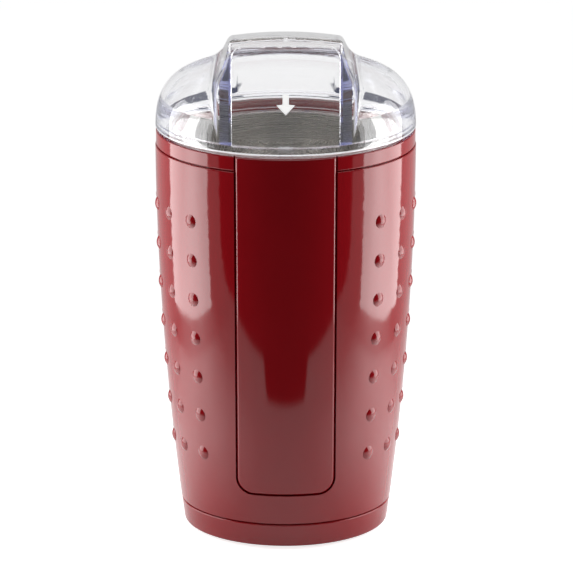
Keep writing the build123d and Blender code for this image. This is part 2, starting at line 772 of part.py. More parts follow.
def stator_core():
    """Laminated stack with a bore, two poles and four coil windows."""
    stack = bar(-stack_half_x, stack_half_x, -stack_half_y, stack_half_y, z_stack_foot, z_stack_top)
    stack = fillet(stack.edges().filter_by(Axis.Z), stack_corner)
    stack = stack - rod(armature_radius + air_gap, z_stack_foot - 1, z_stack_top + 1)
    for side in (1, -1):
        y0, y1 = sorted((side * window_low, side * window_high))
        for x0, x1 in ((-window_half, -pole_half), (pole_half, window_half)):
            stack = stack - bar(x0, x1, y0, y1, z_stack_foot - 1, z_stack_top + 1)
    for x in (-bolt_x, bolt_x):
        stack = stack - rod(bolt_radius + 0.1, z_stack_foot - 1, z_stack_top + 1, x, 0)
    return stack


def field_coils():
    """Two wound coils, each round one pole, with round heads past the stack."""
    coils = []
    outer = window_half - coil_gap
    for side in (1, -1):
        y0, y1 = sorted((side * coil_low, side * (window_high - coil_gap)))
        coil = bar(-outer, outer, y0, y1, z_stack_foot - coil_head, z_stack_top + coil_head)
        coil = fillet(coil.edges().filter_by(Axis.Y), 4)
        inner = bar(-pole_half - coil_gap, pole_half + coil_gap, y0 - 1, y1 + 1,
                    z_stack_foot - coil_gap, z_stack_top + coil_gap)
        coils.append(coil - inner)
    return coils


def through_bolts():
    """Two long bolts that clamp both brackets on the stack."""
    z_plate = z_lower_plate - bracket_thick
    head = rod(bolt_head, z_plate - bolt_head_height, z_plate)
    bolt = head + rod(bolt_radius, z_plate, z_bracket - bracket_thick - 2)
    return [Pos(x, 0, 0) * bolt for x in (-bolt_x, bolt_x)]


def brush_holders():
    """Two brass tubes, closed at their outer ends, that guide the brushes."""
    outer_x = 0.5 * brush_wide + holder_fit + holder_wall
    outer_z = 0.5 * brush_tall + holder_fit + holder_wall
    y_end = holder_start + holder_length
    case = bar(-outer_x, outer_x, holder_start, y_end, z_brush - outer_z, z_brush + outer_z)
    hollow = bar(holder_wall - outer_x, outer_x - holder_wall, holder_start - 1, y_end - holder_wall,
                 z_brush - outer_z + holder_wall, z_brush + outer_z - holder_wall)
    return [Rot(0, 0, turn) * (case - hollow) for turn in (0, 180)]


def carbon_brushes():
    """Two carbon blocks whose ends are curved to the commutator."""
    reach = commutator_radius + brush_gap
    block = bar(-0.5 * brush_wide, 0.5 * brush_wide, reach - 1, reach + brush_length,
                z_brush - 0.5 * brush_tall, z_brush + 0.5 * brush_tall)
    block = block - rod(reach, z_brush - brush_tall, z_brush + brush_tall)
    return [Rot(0, 0, turn) * block for turn in (0, 180)]


def brush_springs():
    """Two small springs behind the brushes."""
    start = commutator_radius + brush_gap + brush_length
    length = holder_start + holder_length - holder_wall - start
    one = coil_spring(brush_spring_radius, spring_wire, length, brush_spring_turns)
    laid = Pos(0, start, z_brush) * Rot(-90, 0, 0) * one
    return [Rot(0, 0, turn) * laid for turn in (0, 180)]


# ---------------------------------------------------------------- motor, turning part
def motor_shaft():
    """Steel shaft from the fan to the blade, with a turned-down threaded tip."""
    z_foot = z_fan - fan_height - shaft_end
    z_tip = z_blade + blade_thick + thread_length
    return rod(shaft_radius, z_foot, z_blade) + rod(shaft_tip_radius, z_blade, z_tip)


def armature_slots(grow):
    """Bars that fill the armature's slots, with or without extra room."""
    half = 0.5 * slot_width + grow
    one = bar(armature_radius - slot_depth - grow, armature_radius - slot_lip + grow, -half, half,
              z_stack_foot, z_stack_top)
    return [Rot(0, 0, 360 / slot_count * number) * one for number in range(slot_count)]


def armature_core():
    """Laminated drum on the shaft with slots for the winding."""
    drum = tube(armature_radius, shaft_radius, z_stack_foot, z_stack_top)
    return drum - armature_slots(winding_gap)


def armature_windings():
    """Copper winding: bars in the slots joined by a rounded head at each end."""
    heads = []
    for z0, z1 in ((z_stack_top, z_stack_top + winding_head), (z_stack_foot - winding_head, z_stack_foot)):
        head = tube(winding_radius, winding_bore, z0, z1)
        heads.append(fillet(head.edges().filter_by(GeomType.CIRCLE).sort_by(SortBy.RADIUS)[-2:], 3))
    return heads[0] + heads[1] + armature_slots(0)


def commutator():
    """Copper drum with its riser, slit into bars."""
    z_top = z_commutator
    z_low = z_top - commutator_length
    drum = tube(commutator_radius, shaft_radius, z_low, z_top)
    drum = drum + tube(riser_radius, shaft_radius, z_top - riser_length, z_top)
    half = 0.5 * commutator_slit
    slit = bar(commutator_radius - commutator_slit_depth, riser_radius + 1, -half, half, z_low - 1, z_top + 1)
    return drum - [Rot(0, 0, 360 / commutator_bars * number) * slit for number in range(commutator_bars)]


def cooling_fan():
    """Plastic fan: a disc with straight blades under it, pressed on the shaft."""
    fan = tube(fan_radius, shaft_radius, z_fan - fan_disc, z_fan)
    fan = fan + tube(fan_hub, shaft_radius, z_fan - fan_height, z_fan)
    half = 0.5 * fan_blade_thick
    vane = bar(fan_hub - 1, fan_radius, -half, half, z_fan - fan_height, z_fan - 0.5 * fan_disc)
    return fan + [Rot(0, 0, 360 / fan_blades * number) * vane for number in range(fan_blades)]


def blade_hub():
    """Plastic hub between the shaft seal and the blade."""
    z_low = z_bowl_floor + seal_lip + hub_gap
    hub = tube(hub_radius, shaft_radius, z_low, z_blade)
    return fillet(hub.edges().group_by(Axis.Z)[-1].sort_by(SortBy.RADIUS)[-1:], 0.8)


def blade():
    """Flat steel bar with two tips, one bent up and one bent down, edges ground."""
    straight = blade_span - blade_tip_length
    half = 0.5 * blade_width
    z_top = z_blade + blade_thick
    body = bar(-straight, straight, -half, half, z_blade, z_top)
    tip = bar(0, blade_tip_length, -half, half, 0, blade_thick)
    corner = Pos(blade_tip_length, -half, blade_thick) * Rot(0, 0, blade_edge_turn)
    tip = tip - corner * Box(12, 4, 2 * blade_thick)
    end = Pos(straight, 0, z_blade)
    raised = end * Rot(0, -blade_tip_rise, 0) * Pos(-0.4, 0, 0) * tip
    lowered = Rot(0, 0, 180) * end * Rot(0, blade_tip_fall, 0) * Pos(-0.4, 0, 0) * tip
    return body + raised + lowered - rod(shaft_tip_radius, z_blade - 1, z_top + 1)


def blade_nut():
    """Domed nut that clamps the blade on the shaft."""
    z_low = z_blade + blade_thick
    body = extrude(Pos(0, 0, z_low) * RegularPolygon(nut_radius, 6), nut_height)
    crown = turned((0, z_low), (nut_radius, z_low), (nut_radius, z_low + nut_shoulder),
                   (nut_crown, z_low + nut_height), (0, z_low + nut_height))
    return (body & crown) - rod(shaft_tip_radius, z_low - 1, z_low + thread_length)


# ---------------------------------------------------------------- interlock
def push_rod():
    """Round rod with a spring shoulder and a foot that reaches over the switch."""
    y = -rod_offset
    body = rod(rod_radius, z_rod_foot, z_rod_top, 0, y)
    body = chamfer(body.edges().group_by(Axis.Z)[-1], 0.3)
    body = body + rod(rod_shoulder_radius, z_rod_shoulder, z_rod_shoulder + rod_shoulder_height, 0, y)
    inner = tongue_outer + 0.5 * switch_deep - plunger_radius
    foot = bar(-rod_foot_half, rod_foot_half, y - rod_radius, -inner,
               z_rod_foot, z_rod_foot + rod_foot_height)
    return body + foot


def rod_spring():
    """Return spring between the guide and the rod's shoulder."""
    spring = coil_spring(spring_coil, spring_thread, spring_length, spring_turns)
    return Pos(0, -rod_offset, z_guide_top) * spring


def switch_body():
    """Microswitch case with a socket for its plunger, screw holes and three blades."""
    z_low = z_switch_top - switch_tall
    case = bar(-switch_half, switch_half, -switch_front, -tongue_outer, z_low, z_switch_top)
    case = fillet(case.edges().filter_by(Axis.Y), 1)
    y = -tongue_outer - 0.5 * switch_deep
    case = case - rod(plunger_radius + plunger_gap, z_switch_top - plunger_socket, z_switch_top + 1, 0, y)
    for x in (-switch_screw_spread, switch_screw_spread):
        hole = Pos(x, -switch_front, z_switch_top - 0.5 * switch_tall) * Rot(90, 0, 0)
        case = case - hole * Cylinder(screw_radius + screw_clear, 3 * switch_deep)
        case = case - hole * Cylinder(screw_head_radius + screw_clear, 2 * sunk_head)
    for x in (-tag_spread, 0, tag_spread):
        case = case + bar(x - tag_half, x + tag_half, y - 0.5 * tag_thick, y + 0.5 * tag_thick,
                          z_low - tag_length, z_low + 0.5)
    return case


def switch_screws():
    """Two screws through the switch into the carrier's front tongue."""
    length = switch_deep + tongue_thick
    low = (Align.CENTER, Align.CENTER, Align.MIN)
    one = Cylinder(screw_head_radius, sunk_head, align=low) + Cylinder(screw_radius, length, align=low)
    z = z_switch_top - 0.5 * switch_tall
    return [Pos(x, -switch_front, z) * Rot(-90, 0, 0) * one
            for x in (-switch_screw_spread, switch_screw_spread)]


def switch_plunger():
    """Small round plunger in the switch's top."""
    y = -tongue_outer - 0.5 * switch_deep
    z_low = z_switch_top - plunger_socket + press_travel + 0.3
    return rod(plunger_radius, z_low, z_switch_top + plunger_proud, 0, y)


# ---------------------------------------------------------------- wiring
def capacitor():
    """Suppression capacitor on the rear tongue, with two wire legs."""
    z_low = z_stack_foot + cap_foot
    case = bar(-cap_half, cap_half, tongue_outer, tongue_outer + cap_deep, z_low, z_low + cap_tall)
    case = fillet(case.edges().filter_by(Axis.Y), 1)
    y = tongue_outer + 0.5 * cap_deep
    legs = [rod(cap_leg, z_low - cap_leg_length, z_low + 1, x, y) for x in (-cap_leg_spread, cap_leg_spread)]
    return case + legs


def terminal_block():
    """Two-way terminal block on the rear tongue, where the cord's cores end."""
    z_low = z_rear_tongue
    y = tongue_outer + 0.5 * terminal_deep
    block = bar(-terminal_half, terminal_half, tongue_outer, tongue_outer + terminal_deep,
                z_low, z_low + terminal_tall)
    block = fillet(block.edges().filter_by(Axis.Y), 0.8)
    for x in (-terminal_spread, terminal_spread):
        block = block - rod(terminal_bore, z_low - 1, z_low + terminal_depth, x, y)
    return block


def lead(points, bend):
    """Insulated wire along straight runs joined by arcs."""
    path = FilletPolyline(*points, radius=bend)
    return sweep(Plane(origin=path @ 0, z_dir=path % 0) * Circle(lead_radius), path=path)


def inner_leads():
    """Three wires: block to switch, switch to front coil, block to rear coil."""
    z_block = z_rear_tongue + terminal_tall
    z_run = z_block + 5
    z_coil = z_stack_foot - coil_head
    z_low = z_coil - 5
    y_rear = tongue_outer + 0.5 * terminal_deep
    y_front = -tongue_outer - 0.5 * switch_deep
    z_tag = z_switch_top - switch_tall - tag_length
    coil_x = window_half - 3.5
    coil_y = 0.5 * (coil_low + window_high)
    start, tag = terminal_spread, tag_spread
    to_switch = lead([(-start, y_rear, z_block), (-start, y_rear, z_run), (-26, 22, z_run + 2),
                      (-33, 0, z_run + 3), (-27, -24, z_run + 2), (-tag, y_front, z_run),
                      (-tag, y_front, z_tag)], 4)
    to_front = lead([(tag, y_front, z_tag), (tag, y_front, z_low), (coil_x, -coil_y, z_low),
                     (coil_x, -coil_y, z_coil)], 3)
    to_rear = lead([(start, y_rear, z_block), (start, y_rear, z_run - 1), (coil_x, y_rear, z_run - 1),
                    (coil_x, y_rear, z_low), (coil_x, coil_y, z_low), (coil_x, coil_y, z_coil)], 2)
    return [to_switch, to_front, to_rear]


# ---------------------------------------------------------------- lid
def dome(inset):
    """Lid's dome: a superellipse turned about the axis, moved in by a wall."""
    radius = lid_radius - inset
    height = dome_height - inset
    start = asin((lid_gap / height) ** (0.5 * dome_crown))
    angles = [start + (0.5 * pi - start) * step / dome_steps for step in range(dome_steps + 1)]
    points = [(radius * abs(cos(a)) ** (2 / dome_side), z_rim + height * sin(a) ** (2 / dome_crown))
              for a in angles[:-1]]
    profile = Spline(*points, (0, z_rim + height), tangents=((0, 1), (-1, 0)))
    closing = Polyline((0, z_rim + height), (0, z_lid), points[0])
    return revolve(Plane.XZ * make_face([profile, closing]), Axis.Z)


def sloped(face, slope):
    """Long bar of a front-view outline, which falls towards the rear."""
    turn = radians(slope)
    return extrude(Plane.XZ.offset(block_front) * face, 120, dir=(0, cos(turn), -sin(turn)), both=True)


def block_flanks(inset):
    """Thumb block's two sides, each upright at its top and flared lower down."""
    z_corner = z_rim + block_height - block_crown
    z_flare = z_rim + block_flare_foot
    turn = 2 * atan((block_foot_half - block_top_half) / (z_corner - z_flare))
    top = block_top_half - inset
    foot = block_foot_half - inset
    inflection = (top + block_flare_radius * (1 - cos(turn)), z_corner - block_flare_radius * sin(turn))
    upper = TangentArc((top, z_corner), inflection, tangent=(0, -1))
    lower = TangentArc(inflection, (foot, z_flare), tangent=upper % 1)
    rest = Polyline((foot, z_flare), (foot, z_rim - 40), (0, z_rim - 40), (0, z_corner + 40),
                    (top, z_corner + 40), (top, z_corner))
    half = make_face([upper, lower, rest])
    return sloped(half + mirror(half, Plane.YZ), block_flare_slope)


def block_roof(inset):
    """Space under the thumb block's crowned top, which slopes, bends down and runs on straight."""
    crown = (block_top_half**2 + block_crown**2) / (2 * block_crown) - inset
    radius = block_bend_radius - inset
    fall = crown - sqrt(crown**2 - block_reach**2)
    top = ThreePointArc((-block_reach, radius - fall), (0, radius), (block_reach, radius - fall))
    section = Plane.XZ * make_face([top, Polyline(top @ 1, (block_reach, 0), (-block_reach, 0), top @ 0)])
    slope = radians(block_slope)
    z_bend = z_rim + block_height - (block_bend_y + block_front) * tan(slope)
    centre = (0, block_bend_y - block_bend_radius * sin(slope), z_bend - block_bend_radius * cos(slope))
    start = Pos(*centre) * Rot(-block_slope, 0, 0) * section
    end = Pos(*centre) * Rot(-block_bend_end, 0, 0) * section
    bend = revolve(start, Axis(centre, (1, 0, 0)), block_slope - block_bend_end)
    return extrude(start, 2 * block_reach) + bend + extrude(end, -2 * block_reach)


def block_body(inset):
    """Thumb block, or its hollow when moved in by a wall."""
    foot, top = lid_radius - inset, block_front - inset
    z_low, z_top = z_rim - 20, z_rim + block_height
    front = turned((0, z_low), (foot, z_low), (foot, z_rim), (top, z_top), (top, z_top + 10), (0, z_top + 10))
    body = block_flanks(inset) & block_roof(inset) & front
    return body & bar(-60, 60, -60, block_back, z_lid, z_top + 10)


def rib_arch():
    """Two ribs behind the front wall, joined over the top by an arch with round corners."""
    z_top = z_rim + block_height - lid_wall - 0.5
    slab = bar(-rib_half, rib_half, -lid_radius, rib_depth - lid_radius, z_lid, z_top + 10)
    opening = Pos(0, z_lid) * Rectangle(2 * arch_half, 2 * (z_top - z_lid))
    opening = fillet(opening.vertices().group_by(Axis.Y)[-1], arch_corner)
    return slab - extrude(Plane.XZ * opening, 100, both=True)


def lid():
    """Clear lid: dome, hollow thumb block, two ribs, foot ring, skirt and tab."""
    shell = dome(0) + block_body(0)
    hollow = dome(lid_wall) + block_body(lid_wall)
    clear = shell - (hollow - rib_arch())
    skirt_outer = mouth_radius - skirt_gap
    skirt_inner = skirt_outer - skirt_wall
    clear = clear + tube(lid_radius - 0.5 * lid_wall, skirt_inner, z_lid, z_lid + lid_foot_thick)
    clear = clear + tube(skirt_outer, skirt_inner, z_skirt, z_lid + lid_foot_thick)
    tab_inner = rod_offset - rod_radius
    clear = clear + bar(-tab_half, tab_half, 0.4 - skirt_outer, -tab_inner, z_tab, z_lid + lid_foot_thick)
    return clear


# ---------------------------------------------------------------- write the parts
def save(name, shape):
    """Write one node; a list of pieces becomes a group of separate solids."""
    solids = []
    for piece in shape if isinstance(shape, list) else [shape]:
        solids += piece.solids()
    export_step(solids[0] if len(solids) == 1 else Compound(children=solids), f"parts/{name}.step")


os.makedirs("parts", exist_ok=True)
for make in (housing_shell, front_panel, top_collar, base_cover, base_feet, base_screws, cord_gland,
             grinding_bowl, bowl_seal, bowl_pad, shaft_seal, bowl_carrier, carrier_screws,
             motor_mounts, motor_screws, upper_bracket, lower_bracket, bearing_bushes, stator_core,
             field_coils, through_bolts, brush_holders, carbon_brushes, brush_springs,
             motor_shaft, armature_core, armature_windings, commutator, cooling_fan,
             blade_hub, blade, blade_nut, push_rod, rod_spring, switch_body, switch_screws,
             switch_plunger, capacitor, terminal_block, inner_leads, lid):
    save(make.__name__, make())
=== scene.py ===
"""Electric blade grinder: glossy red tapered body, drawn steel bowl, clear press-to-run lid.

Sizes are in millimetres, with Z up from the worktop and the front towards -Y. A mesh is
scaled to metres when it is made. The sections follow the object from the base upwards.
"""
from math import atan, cos, pi, radians, sin, sqrt, tan

import bpy
import numpy as np
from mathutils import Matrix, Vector


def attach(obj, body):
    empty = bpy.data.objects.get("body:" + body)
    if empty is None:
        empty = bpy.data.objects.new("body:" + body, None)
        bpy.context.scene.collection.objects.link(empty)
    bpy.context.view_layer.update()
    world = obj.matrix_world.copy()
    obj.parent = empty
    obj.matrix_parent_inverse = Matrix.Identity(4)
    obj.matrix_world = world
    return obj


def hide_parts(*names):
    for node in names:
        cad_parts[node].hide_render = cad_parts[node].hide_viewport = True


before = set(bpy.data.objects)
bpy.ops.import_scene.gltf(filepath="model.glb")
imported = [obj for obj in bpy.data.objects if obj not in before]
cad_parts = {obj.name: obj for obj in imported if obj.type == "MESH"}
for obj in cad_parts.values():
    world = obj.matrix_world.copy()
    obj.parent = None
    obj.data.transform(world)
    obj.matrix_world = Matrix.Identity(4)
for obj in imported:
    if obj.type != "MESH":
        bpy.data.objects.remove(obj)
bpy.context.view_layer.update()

# ==== base cover ======================================================================
# Red ABS cup that closes the body from below, moulded in a polished tool like the other
# red parts, with vents, foot seats and screw holes. Three screws hold it under the shell.
MM = 0.001


def add_node(tree, kind, settings=None, **links):
    """Adds a shader node: settings are its properties, links its sockets.

    A socket is named by its name, or as _3 by its number, and gets a value or an output.
    """
    node = tree.nodes.new(kind)
    for key, value in (settings or {}).items():
        setattr(node, key, value)
    for key, value in links.items():
        socket = node.inputs[int(key[1:]) if key[1:].isdigit() else key.replace("_", " ")]
        if isinstance(value, bpy.types.NodeSocket):
            tree.links.new(value, socket)
        else:
            socket.default_value = value
    return node


def colour(code):
    """sRGB hex code as a linear colour."""
    parts = [int(code[i:i + 2], 16) / 255 for i in (0, 2, 4)]
    return (*(c / 12.92 if c <= 0.04045 else ((c + 0.055) / 1.055)**2.4 for c in parts), 1.0)


def finish(name, low, high, patch, roughness, grain=0.5, relief=0.004, along=(1, 1, 1),
           **shader_values):
    """A surface finish on Object coordinates.

    Its colour drifts between two tones over patches of so many mm, and its roughness between
    two values. A finer grain in mm stands relief mm high; along stretches it on each axis.
    """
    material = bpy.data.materials.new(name)
    material.use_nodes = True
    tree = material.node_tree
    shader = tree.nodes["Principled BSDF"]
    where = add_node(tree, "ShaderNodeTexCoord").outputs["Object"]
    stretched = add_node(tree, "ShaderNodeMapping", Vector=where, Scale=along).outputs["Vector"]
    clouds = add_node(tree, "ShaderNodeTexNoise", Vector=stretched, Scale=1 / (patch * MM),
                      Detail=4.0)
    tint = add_node(tree, "ShaderNodeMix", {"data_type": "RGBA"}, Factor=clouds.outputs["Fac"],
                    _6=colour(low), _7=colour(high))
    tree.links.new(tint.outputs[2], shader.inputs["Base Color"])
    fine = add_node(tree, "ShaderNodeTexNoise", Vector=stretched, Scale=1 / (grain * MM),
                    Detail=3.0)
    sheen = add_node(tree, "ShaderNodeMapRange", Value=clouds.outputs["Fac"], _1=0.3, _2=0.7,
                     _3=roughness[0], _4=roughness[1])
    tree.links.new(sheen.outputs[0], shader.inputs["Roughness"])
    bump = add_node(tree, "ShaderNodeBump", Strength=1.0, Distance=relief * MM,
                    Height=fine.outputs["Fac"])
    tree.links.new(bump.outputs["Normal"], shader.inputs["Normal"])
    for key, value in shader_values.items():
        shader.inputs[key.replace("_", " ")].default_value = value
    return material


def dress(material, *nodes):
    """Gives CAD nodes a finish in place of their packed one."""
    for node in nodes:
        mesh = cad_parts[node].data
        mesh.materials.clear()
        mesh.materials.append(material)


# Polished ABS: deep even pigment under a clear gloss, with faint flow clouds and orange peel.
red_abs = finish("polished_red_abs", "8b0c14", "970f19", 26, (0.06, 0.09), grain=2.2,
                 relief=0.0006, IOR=1.53)
dress(red_abs, "base_cover")

# ==== feet ============================================================================
# Three rubber feet pressed into seats in the base cover's floor, moulded matt. Rubber scatters
# light softly, so they stay dark from every side.
black_rubber = finish("moulded_black_rubber", "161616", "242322", 5, (0.55, 0.75), grain=0.35,
                      relief=0.02)
dress(black_rubber, "base_feet")

# ==== base cover's rim ================================================================
# The cover's outer band, flush with the shell above the seam. Its edges are rounded over, and
# the upper one catches the lamps as a thin bright line.
RIM_BAND_TOP, RIM_BAND_FOOT = 9.75, 1.25
RIM_BAND_TOP_RADIUS, RIM_BAND_FOOT_RADIUS, RIM_BAND_INNER = 38.45, 37.35, 36.0
RIM_BAND_ROUND, RIM_BAND_FOOT_ROUND, RIM_BAND_INNER_ROUND = 0.55, 1.0, 0.1


def ring_of(corners, roundings, segments=6, around=240):
    """Closed profile turned round Z.

    Each corner (r, z) is cut back by its rounding, and bridged by a parabola that is tangent to
    both of its sides.
    """
    corners = np.array(corners, float)
    share = np.linspace(0, 1, segments + 1)[:, None]
    profile = []
    neighbours = zip(np.roll(corners, 1, 0), corners, np.roll(corners, -1, 0), roundings)
    for before, corner, after, rounding in neighbours:
        start = corner + (before - corner) * rounding / np.linalg.norm(before - corner)
        end = corner + (after - corner) * rounding / np.linalg.norm(after - corner)
        profile.append(start * (1 - share)**2 + 2 * corner * share * (1 - share) + end * share**2)
    r, z = np.concatenate(profile).T
    turn = np.linspace(0, 2 * pi, around, endpoint=False)[:, None]
    return np.stack([r * np.cos(turn), r * np.sin(turn), z + 0 * turn], -1)


def torus_mesh(name, points, material, crease=50):
    """Mesh of a grid that closes on itself both ways."""
    rows, columns = points.shape[:2]
    index = np.arange(rows * columns).reshape(rows, columns)
    down, right = np.roll(index, -1, 0), np.roll(index, -1, 1)
    cells = np.stack([index, down, np.roll(down, -1, 1), right], -1)
    mesh = bpy.data.meshes.new(name)
    mesh.from_pydata((points.reshape(-1, 3) * MM).tolist(), [], cells.reshape(-1, 4).tolist())
    mesh.shade_smooth()
    mesh.set_sharp_from_angle(angle=radians(crease))
    mesh.materials.append(material)
    piece = bpy.data.objects.new(name, mesh)
    bpy.context.scene.collection.objects.link(piece)
    return piece


# the outline runs counter-clockwise in (r, z), so that the faces point outwards
band = ring_of([(RIM_BAND_INNER, RIM_BAND_FOOT), (RIM_BAND_FOOT_RADIUS, RIM_BAND_FOOT),
                (RIM_BAND_TOP_RADIUS, RIM_BAND_TOP), (RIM_BAND_INNER, RIM_BAND_TOP)],
               [RIM_BAND_INNER_ROUND, RIM_BAND_FOOT_ROUND, RIM_BAND_ROUND, RIM_BAND_INNER_ROUND])
rim_band = torus_mesh("base_cover_rim", band, red_abs)
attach(rim_band, "housing")

# ==== screws ==========================================================================
# Zinc-plated steel screws: base cover to shell, carrier to collar, motor and switch.
# The plating is bright and slightly clouded.
zinc_plate = finish("zinc_plated_steel", "b9bcc2", "d6d7da", 3, (0.22, 0.36), grain=0.3,
                    relief=0.003, Metallic=1.0)
dress(zinc_plate, "base_screws", "carrier_screws", "motor_screws", "switch_screws",
      "through_bolts", "blade_nut")

# ==== cord gland ======================================================================
# Rubber gland snapped into a flat pad low on the rear wall, where the lead goes in. It is
# moulded in the same black rubber as the feet.
dress(black_rubber, "cord_gland")

# ==== housing shell ===================================================================
# The main moulding, polished red ABS, tapered along one large arc. Its sides carry rows of
# low domed grip bumps, and a ring closes it above, which carries the lid.
dress(red_abs, "housing_shell", "top_collar")

# ==== front panel =====================================================================
# A separate red ABS inlay, pushed into the pocket in the shell's front. Its front edge is
# rounded over, so that it shows as a thin bright line along the shadow gap.
FLARE_RADIUS, RIM_RADIUS, RIM_Z = 1100.2, 47.4, 149.2
PANEL_FOOT, PANEL_TOP = 21.75, 149.2
PANEL_FOOT_HALF, PANEL_TOP_HALF = 17.55, 18.0
PANEL_CORNER, PANEL_THICK = 5.8, 1.9
PANEL_EDGE = 0.9           # rounding of its front edge
PANEL_RECESS = 0.02        # it sits this much behind the shell


def flare(z):
    """Radius of the body at a height: a large arc that is upright at the rim."""
    return RIM_RADIUS - FLARE_RADIUS + np.sqrt(FLARE_RADIUS**2 - (RIM_Z - z)**2)


def gathered(count, edge, share=0.3):
    """Values from 0 to 1 whose ends each hold a share of the points within an edge's width."""
    few = int(count * share)
    ease = edge * (1 - np.cos(0.5 * pi * np.linspace(0, 1, few, endpoint=False)))
    return np.concatenate([ease, np.linspace(edge, 1 - edge, count - 2 * few), 1 - ease[::-1]])


def panel_surface(columns=90, rows=150):
    """The inlay as two sheets of (u, v) with one outline.

    v runs up and u across the outline's width at that height, which narrows round the foot's
    corners. The front sheet lies on the flare and drops along a quarter circle of the
    distance to the outline; the back sheet lies a thickness further in.
    """
    v, u = np.meshgrid(gathered(rows, 0.05), 2 * gathered(columns, 0.05) - 1, indexing="ij")
    z = PANEL_FOOT + (PANEL_TOP - PANEL_FOOT) * v
    half = PANEL_FOOT_HALF + (PANEL_TOP_HALF - PANEL_FOOT_HALF) * v
    above = np.clip(z - PANEL_FOOT, 0, PANEL_CORNER)
    narrowed = half - PANEL_CORNER + np.sqrt(PANEL_CORNER**2 - (PANEL_CORNER - above)**2)
    x = u * narrowed
    to_side, to_foot = PANEL_CORNER - (half - np.abs(x)), PANEL_CORNER - (z - PANEL_FOOT)
    inwards = PANEL_CORNER - np.hypot(np.maximum(to_side, 0), np.maximum(to_foot, 0))
    inwards = np.clip(np.minimum(inwards, PANEL_TOP - z), 0, PANEL_EDGE)
    drop = PANEL_EDGE - np.sqrt(PANEL_EDGE**2 - (PANEL_EDGE - inwards)**2)
    sheets = [np.stack([x, -np.sqrt((flare(z) - depth)**2 - x**2), z], -1)
              for depth in (PANEL_RECESS + drop, np.full(z.shape, PANEL_THICK))]
    return sheets


def closed_pair(name, sheets, material, crease=40):
    """Mesh of two sheets, front and back, joined all round their outline."""
    rows, columns = sheets[0].shape[:2]
    index = np.arange(rows * columns).reshape(rows, columns)
    cells = np.stack([index[:-1, :-1], index[:-1, 1:], index[1:, 1:], index[1:, :-1]], -1)
    cells = cells.reshape(-1, 4)
    loop = np.concatenate([index[0, :-1], index[:-1, -1], index[-1, :0:-1], index[:0:-1, 0]])
    after = np.roll(loop, -1)
    back = rows * columns
    wall = np.stack([after, loop, loop + back, after + back], -1)
    mesh = bpy.data.meshes.new(name)
    points = np.concatenate([sheet.reshape(-1, 3) for sheet in sheets]) * MM
    faces = np.concatenate([cells, cells[:, ::-1] + back, wall])
    mesh.from_pydata(points.tolist(), [], faces.tolist())
    mesh.shade_smooth()
    mesh.set_sharp_from_angle(angle=radians(crease))
    mesh.materials.append(material)
    piece = bpy.data.objects.new(name, mesh)
    bpy.context.scene.collection.objects.link(piece)
    return piece


panel = closed_pair("front_panel_inlay", panel_surface(), red_abs)
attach(panel, "housing")
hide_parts("front_panel")

# ==== bowl carrier ====================================================================
# Glass-filled nylon frame inside the body, moulded with a fine spark-eroded grain. It hangs
# on the collar's bosses and carries the bowl, the motor and the switch.
black_nylon = finish("moulded_black_nylon", "1b1c1e", "292a2d", 7, (0.45, 0.6), grain=0.6,
                     relief=0.015)
dress(black_nylon, "bowl_carrier", "cooling_fan", "blade_hub")

# ==== motor ===========================================================================
# Universal motor: laminated stator and armature, wound coils, cast brackets, brushes.
# Two through bolts clamp it together and four screws hang it under the carrier.
LAMINATION = 0.65          # drawn thicker than the real 0.5 mm sheets, so that the stack shows
WIRE = 0.6                 # turns of the coils, in the same way


def layered(name, low, high, pitch, direction, roughness, relief, **shader_values):
    """A stack of sheets or a lay of wires: bands across one axis, each one pitch mm wide."""
    material = finish(name, low, high, 4, roughness, grain=pitch, relief=relief, **shader_values)
    tree = material.node_tree
    shader = tree.nodes["Principled BSDF"]
    where = add_node(tree, "ShaderNodeTexCoord").outputs["Object"]
    # a wave texture of scale 1 repeats every pi / 10
    bands = add_node(tree, "ShaderNodeTexWave",
                     {"bands_direction": direction, "wave_profile": "SIN"},
                     Vector=where, Scale=pi / (10 * pitch * MM), Distortion=0.3, Detail=1.0)
    bump = add_node(tree, "ShaderNodeBump", Strength=1.0, Distance=relief * MM,
                    Height=bands.outputs["Fac"])
    tree.links.new(bump.outputs["Normal"], shader.inputs["Normal"])
    return material


# Lacquered sheets look dark and ridged, and enamelled wire like glossy brown thread.
laminations = layered("punched_silicon_steel", "4c4c50", "5e5e63", LAMINATION, "Z", (0.35, 0.5),
                      0.06, Metallic=1.0)
magnet_wire = layered("enamelled_copper_wire", "7c3418", "a04b24", WIRE, "Z", (0.25, 0.4), 0.12,
                      Coat_Weight=0.5)
# Cast and sintered metals are dull and grainy, and rolled, turned or ground ones shine.
cast_zinc = finish("die_cast_zinc", "8d8e90", "a9a9aa", 2.5, (0.45, 0.6), grain=0.5, relief=0.02,
                   Metallic=1.0)
bronze = finish("sintered_bronze", "8a5f35", "a87b4a", 1.5, (0.4, 0.55), grain=0.25,
                relief=0.015, Metallic=1.0)
brass = finish("folded_brass", "b88a3a", "d0a552", 4, (0.2, 0.35), grain=0.4, relief=0.003,
               Metallic=1.0)
copper = finish("turned_copper", "b0603a", "cb7b50", 3, (0.2, 0.35), grain=0.2, relief=0.004,
                along=(0.1, 0.1, 1), Metallic=1.0)
graphite = finish("pressed_graphite", "1a1a1b", "2a2a2b", 1.0, (0.4, 0.55), grain=0.2, relief=0.006)
ground_steel = finish("ground_shaft_steel", "9c9da0", "b7b8ba", 5, (0.15, 0.25), grain=0.15,
                      relief=0.002, along=(0.05, 0.05, 1), Metallic=1.0)
spring_wire = finish("drawn_spring_wire", "85868a", "a0a1a5", 2, (0.25, 0.4), grain=0.2,
                     relief=0.002, Metallic=1.0)
dress(laminations, "stator_core", "armature_core")
dress(magnet_wire, "field_coils", "armature_windings")
dress(cast_zinc, "upper_bracket", "lower_bracket")
